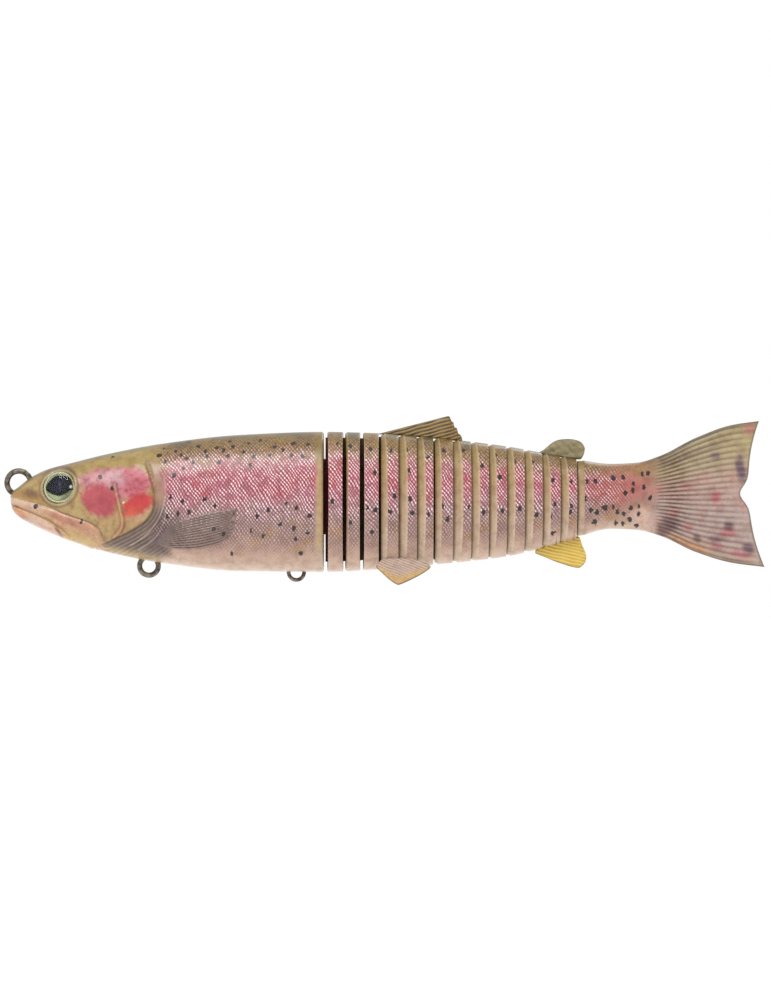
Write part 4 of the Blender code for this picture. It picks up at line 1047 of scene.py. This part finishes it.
def tail_colour(x, z, t, share):
    """Body colours over the peduncle, turning to the fin's: olive top lobe, grey-pink middle,
    mauve lower lobe with an orange streak, and blotches near the rear edge."""
    colour = body_colour(x, z, z * 1.1)
    root = ease(x, 161, 170)
    colour = over(colour, (178, 124, 96), root * 0.55 * ease(t, -0.9, -0.2))
    colour = patches(colour, x, z, (
        ((196, 104, 92), (168, -2.2), (7, 4.6), 0, 0.5, 0.7),
        ((224, 188, 170), (178.5, -10.4), (4.0, 3.0), -20, 0.5, 0.9),
    ))
    stops = np.array([(-1, 186, 162, 142), (-0.7, 184, 158, 150), (-0.35, 186, 164, 156),
                      (0, 194, 160, 150), (0.3, 188, 160, 138), (0.55, 176, 158, 120),
                      (0.85, 164, 146, 98), (1, 118, 106, 72)])
    fin = np.stack([np.interp(t, stops[:, 0], stops[:, k]) for k in (1, 2, 3)], -1)
    fin = over(fin, (198, 180, 132), ease(share, 0.6, 1.0) * ease(t, 0.3, 0.9) * 0.6)
    fin = over(fin, (204, 140, 132), ease(drift(x, z, 9, 91), 0.2, 1.2) * ease(t, 0.6, 0.2) * 0.5)
    colour = colour + ease(x + 0.5 * drift(x, z, 6, 4), 177, 184)[..., None] * (fin - colour)
    colour = over(colour, (204, 134, 84), ease(x, 183, 187) * ease(x, 199, 193)
                  * bell(t, -0.93, 0.09) * 0.7)
    return patches(colour, x, z, (
        ((70, 46, 72), (205.6, 3.6), (1.2, 3.4), 10, 0.6, 0.75),
        ((84, 58, 74), (198.4, 7.4), (1.3, 1.0), 0, 0.6, 0.6),
        ((84, 42, 58), (202.3, -12.8), (1.4, 1.2), 0, 0.6, 0.7),
        ((78, 52, 72), (207.8, -19.0), (1.6, 1.6), 0, 0.6, 0.65),
        ((92, 60, 74), (198.6, -16.4), (2.0, 1.1), 0, 0.6, 0.6),
        ((86, 58, 62), (193.2, -16.2), (1.1, 1.0), 0, 0.6, 0.6),
        ((92, 62, 66), (185.2, -12.2), (2.4, 2.2), 0, 0.6, 0.7),
        ((110, 62, 58), (183.0, -14.4), (1.6, 1.8), 0, 0.6, 0.55),
        ((196, 84, 96), (198.6, -4.2), (1.6, 1.2), 70, 0.6, 0.65),
        ((184, 96, 96), (208.4, 15.2), (1.8, 1.6), 0, 0.6, 0.6),
        ((186, 92, 92), (190.7, -12.8), (1.6, 1.2), 40, 0.6, 0.5),
        ((190, 70, 84), (202.0, -14.6), (2.2, 0.9), 0, 0.6, 0.55),
        ((196, 92, 110), (205.6, -20.6), (3.0, 1.0), -10, 0.6, 0.55),
        ((188, 96, 108), (199, -18.6), (1.8, 1.0), 0, 0.6, 0.5),
        ((112, 88, 80), (186.5, 6.2), (6.0, 1.4), 20, 0.6, 0.4),
        ((108, 86, 70), (195, 9.0), (6.0, 1.0), 20, 0.6, 0.35),
    ))


def tail_piece():
    """Sections from the last joint back to the fork, each row drawn at one share of the way. The
    front slopes up to the painted skin as a slice's does; rays stand out along lines of equal t."""
    half = 190
    share = np.concatenate([[0, 0], np.linspace(0, 0.04, 14), np.linspace(0.04, 1, 140)[1:]])
    lean = np.linspace(-1, 1, half)
    t = 0.55 * lean + 0.45 * np.sin(np.pi / 2 * lean)
    t = np.r_[t, t[::-1]]
    side = np.r_[np.full(half, -1), np.full(half, 1)]
    S, T = np.meshgrid(share, t, indexing="ij")
    front, tip = joint_x(15) + GAP / 2, NOSE + LENGTH
    x = front + (tip - fork(T) - front) * S
    inset = 1.15 * np.clip((161.0 - x) / 1.9, 0, 1) ** 0.8 * (0.45 + 0.55 * np.sqrt(1 - T * T))
    tall = (back(x) - belly(x)) / 2
    z = belly(x) + tall + (tall - inset) * T
    round_off = (1 - np.minimum(np.abs(T), 0.9999) ** SQUARE) ** (1 / SQUARE)
    fin = ease(x, 180, 188)
    groove = 0.5 - 0.5 * np.cos(2 * np.pi * 11.5 * T + 0.15 * np.sin(x / 3))
    thick = 0.45 + 0.26 * (groove - 0.5) * fin + 0.35 * ease(x, 196, 180)
    edge = np.minimum(1, ((1 - np.abs(T)) / 0.03) ** 0.5) * (1 - 0.5 * ease(S, 0.97, 1.0))
    body = (half_width(x) - inset) * round_off * (1 - 0.25 * fin * (1 - groove))
    y = np.maximum(body, thick * np.maximum(edge, 0.3))
    y[0] = 0.02
    x[0] = front
    p = np.stack([x, side * y, z], -1)
    colour = tail_colour(x, z, T, S)
    # Painted light on the fin's rays: darker in the grooves between them as painted shade, and
    # paler on their ridges as painted highlight.
    dark = ease(groove, 0.42, 0.02) * ease(x, 180.5, 183) * ease(S, 1.0, 0.85)
    colour = over(colour, (92, 68, 58), dark * (0.35 + 0.35 * ease(x, 194, 184)))
    colour = over(colour, (226, 204, 184), ease(groove, 0.6, 1.0) * fin * 0.25)
    colour = over(colour, (86, 76, 60), np.maximum(ease(np.abs(T), 0.965, 1.0) * fin * 0.7,
                                                   ease(S, 0.985, 1.0) * 0.6))
    bare = ease(x, 161.1, 160.8)
    # Painted shade: the bare front face darkens towards the gap in front of it.
    bare_with_painted_light = over(bare_colour(z, x), (116, 88, 60), ease(x, front + 0.61, front + 0.01) * 0.5)
    colour = colour + bare[..., None] * (bare_with_painted_light - colour)
    scale, glint = body_marks(x, z)
    fade = ease(x, 176, 166) * (1 - bare)
    marks = np.stack([scale * fade, dots(x, z, TAIL_SPOTS, 1.0, lambda a, b: b) * (1 - bare),
                      glint * fade * 0.8], -1)
    lay = np.stack([x, z * 1.1, 0 * x], -1)
    j = np.arange(half - 1)
    cap = np.stack([j, j + 1, 2 * half - 2 - j, 2 * half - 1 - j], -1)
    faces = [quads(len(share), 2 * half, (False, True)), cap, cap + (len(share) - 1) * 2 * half]
    made = make("tail_moulding", p, faces, tail_paint, colour, marks, lay)
    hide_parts("tail")
    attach(made, "tail")


tail_paint = skin_finish("airbrushed_tail", 0.40)
tail_piece()


# Fins. Thin soft mouldings glued to one slice each, ribbed with rays. Each is cut at the middle of
# the slices that it lies over.
def blade(name, low, high, start, end, cuts, half, ribs, colour_of, finish, cad,
          free_above=False, place=None):
    """A thin blade between two traced edges, in pieces. At each x its section runs up the left
    flank and down the right one; its thickness eases off at both edges and swells by the ribs.
    The free edge is sprayed darker."""
    low, high = trace(low, 10), trace(high, 10)
    t = np.linspace(0, 1, 56)
    share = np.r_[t, t[::-1]]
    side = np.r_[np.full(56, -1), np.full(56, 1)]
    for (from_x, to_x), joint in cuts:
        count = max(int((to_x - from_x) / 0.16), 8)
        u = np.linspace(0, 1, count)
        x = from_x + (to_x - from_x) * u
        if to_x == end:
            x = from_x + (to_x - from_x) * (1 - (1 - u) ** 1.6)
        under, above = np.interp(x, low[:, 0], low[:, 1]), np.interp(x, high[:, 0], high[:, 1])
        above = np.maximum(above, under + 0.02)
        X = np.broadcast_to(x[:, None], (count, 112))
        Z = under[:, None] + (above - under)[:, None] * share
        span = (above - under)[:, None]
        near = np.minimum(np.minimum(share * span, (1 - share) * span),
                          np.minimum(X - start + 0.02, end - X + 0.02) * 1.5)
        rib = ribs(X, Z, np.broadcast_to(share, X.shape))
        thick = (half + 0.16 * (rib - 0.5)) * np.sqrt(np.clip(near / 0.5, 0.02, 1))
        p = np.stack([X, side * thick, Z], -1)
        colour = colour_of(X, Z, np.broadcast_to(share, X.shape), rib)
        free = ease(share, 0.4, 0.7) if free_above else ease(share, 0.6, 0.3)
        colour = over(colour, (74, 62, 46), ease(near, 0.36, 0.05) * 0.65 * free)
        lay = p.copy()
        if place is not None:
            p = place(p)
        made = make(f"{name}_{joint:02d}", p, tube(count, 112), finish, colour, lay=lay)
        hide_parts(cad)
        at = joint_x(joint) * 0.001
        body_name(joint - 1)
        body_name(joint)
        at - 0.0014
        at + 0.0014
        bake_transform(made)


def fin_finish(name, gloss, deep):
    """Sprayed flexible plastic: the paint read from the mesh, darker between the ribs as painted
    shade and lighter on them as painted highlight, deepened in a fine grain and in soft clouds.
    """
    f = Finish(name, Coat_Weight=0.2, Coat_Roughness=0.3, Specular_IOR_Level=0.3)
    grain, cloud = f.noise(2400.0, 4.0), f.noise(500.0, 4.0)
    colour = f.mix(grain.ease(0.35, 0.8) * 0.5, f.layer("paint", "Color"), deep, "MULTIPLY")
    colour = f.mix(cloud.ease(0.4, 0.75) * 0.35, colour, deep, "MULTIPLY")
    return f.use(Base_Color=colour, Roughness=gloss + grain * 0.2,
                 Normal=f.bump(grain + cloud, 0.00006, 0.7))


def waves(value):
    """Ribs: 0.5 - 0.5 cos(2 pi value), one to each step of 1."""
    return 0.5 - 0.5 * np.cos(2 * np.pi * value)


def cuts_at(start, end, first, last):
    """Where a fin from start to end is cut, at the middles of the slices between two joints."""
    edges = [start, *(slice_middle(joint) for joint in range(first, last)), end]
    return list(zip(zip(edges, edges[1:]), range(first, last + 1)))


def lay_colour(base, dark, depth):
    """Returns a fin's colouring, darker between the ribs as painted shade and lighter on them as
    painted highlight.
    """
    def colour_of(X, Z, _, rib):
        uneven = 0.65 + 0.35 * drift(X, Z, 4, 61)
        colour = over(np.full(X.shape + (3,), np.array(base, float)), dark,
                      ease(rib, 0.6, 0.05) * depth * uneven)
        return over(colour, np.array(base) * 1.2, ease(rib, 0.6, 1.0) * 0.6)
    return colour_of


olive, yellow, grey = (fin_finish(name, gloss, deep) for name, gloss, deep in (
    ("olive_fin_spray", 0.42, (0.45, 0.38, 0.30, 1)),
    ("yellow_fin_spray", 0.40, (0.85, 0.7, 0.45, 1)),
    ("grey_fin_spray", 0.42, (0.55, 0.45, 0.42, 1))))

blade("dorsal_fin_part",
      [(x, back(x) - 0.3) for x in (102.2, 110, 118, 126.4)],
      [(102.2, 13.6), (107, 14.8), (112, 16.1), (118, 17.6), (121.4, 18.5), (122.7, 18.6),
       (123.3, 17.3), (123.9, 16.9), (124.1, 15.7), (124.9, 15.2), (125.2, 13.9), (126.0, 13.2),
       (126.4, 11.9)],
      102.2, 126.4, cuts_at(102.2, 126.4, 4, 8), 0.42,
      lambda X, Z, share: waves((Z - 0.27 * (X - 102.2)) / 0.98 + 0.12 * drift(X, Z, 9, 62)),
      lay_colour((152, 122, 62), (66, 46, 22), 1.0), olive, "dorsal_fin", True)

blade("adipose_fin_part",
      [(148.4, back(148.4) - 0.5), (152, back(152) - 0.4), (156, back(156) - 0.3),
       (158.8, back(158.8) - 0.1), (160.2, 6.5), (161.0, 7.8), (161.3, 9.2)],
      [(148.4, back(148.4) + 0.1), (149.7, 9.2), (152, 11.1), (154.2, 12.0), (157.9, 12.1),
       (160.2, 11.3), (161.1, 10.1), (161.3, 9.5)],
      148.4, 161.3, cuts_at(148.4, 161.3, 13, 15), 0.5,
      lambda X, Z, share: 0.5 + 0.4 * drift(X, Z, 2.6, 77),
      lay_colour((156, 142, 104), (104, 92, 62), 0.7), olive, "adipose_fin", True)

blade("anal_fin_part",
      [(147.2, -20.4), (149.7, -21.4), (154.2, -23.2), (158.8, -24.5), (160.4, -24.1),
       (161.5, -22.7), (161.7, -21.4)],
      [(147.2, belly(147.2) + 0.3), (152, belly(152) + 0.5), (156, belly(156) + 0.5),
       (159.4, belly(159.4) + 0.3), (160.6, -18.2), (161.4, -20.0), (161.7, -21.2)],
      147.2, 161.7, cuts_at(147.2, 161.7, 13, 15), 0.46,
      lambda X, Z, share: waves((Z + 0.24 * (X - 147.2)) / 0.92 + 0.15 * drift(X, Z, 6, 63)),
      lay_colour((222, 194, 92), (206, 152, 60), 0.7), yellow, "anal_fin")

pelvic_mid = 101.9 + 7.6
pelvic_high = (back(pelvic_mid) - belly(pelvic_mid)) / 2
pelvic_skin = belly(pelvic_mid) + pelvic_high * (
    1 - (1 - (6.2 / half_width(pelvic_mid)) ** SQUARE) ** (1 / SQUARE))


def pelvic_place(side):
    """Leans a blade out from the belly by 24 degrees about its seat."""
    def place(p):
        drop = p[..., 2] - pelvic_skin
        c, s = math.cos(math.radians(24)), math.sin(math.radians(24))
        y = side * 7.2 + p[..., 1] * c - side * drop * s
        return np.stack([p[..., 0], y, pelvic_skin + drop * c + p[..., 1] * s * side], -1)
    return place


def pelvic_colour(X, Z, share, rib):
    """Grey-pink at the root, turning to gold at the free edge."""
    colour = lay_colour((200, 174, 156), (148, 120, 106), 0.6)(X, Z, share, rib)
    return over(colour, (220, 178, 104), ease(share, 0.5, 0.1) * 0.8)


for name, side in SIDES:
    blade(f"pelvic_fin_{name}_part",
          [(101.9, -24.5), (103.4, -26.0), (105.4, -28.0), (107.4, -29.5), (108.8, -29.6),
           (113.4, -27.3), (116.4, -25.3), (117.2, -24.4)],
          [(101.9, -23.6), (102.9, -22.6), (104.4, -21.8), (110, -21.6), (113.4, -22.1),
           (116.2, -23.2), (117.2, -24.0)],
          101.9, 117.2, cuts_at(101.9, 117.2, 4, 6), 0.44,
          lambda X, Z, share: waves((Z + 0.42 * (X - 101.9)) / 0.8 + 0.15 * drift(X, Z, 6, 64)),
          pelvic_colour, grey, f"pelvic_fin_{name}", place=pelvic_place(side))


# The two end lengths of the fabric, with their sizes in metres and the parts that lie with them.
# The fabric is declared as the two lengths that are wide enough to measure, with the rest on them.
middle_lengths = [piece for piece, _ in web[1:14]]
for (piece, (wide, tall, area)), holds, others in (
    (web[0], ["head_left", "head_right", "spine_pin_upper", "spine_pin_lower"], middle_lengths),
    (web[14], ["tail_moulding"], []),
):
    wide * 0.001
    tall * 0.001
    area * 1e-6
    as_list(holds)
    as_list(others)
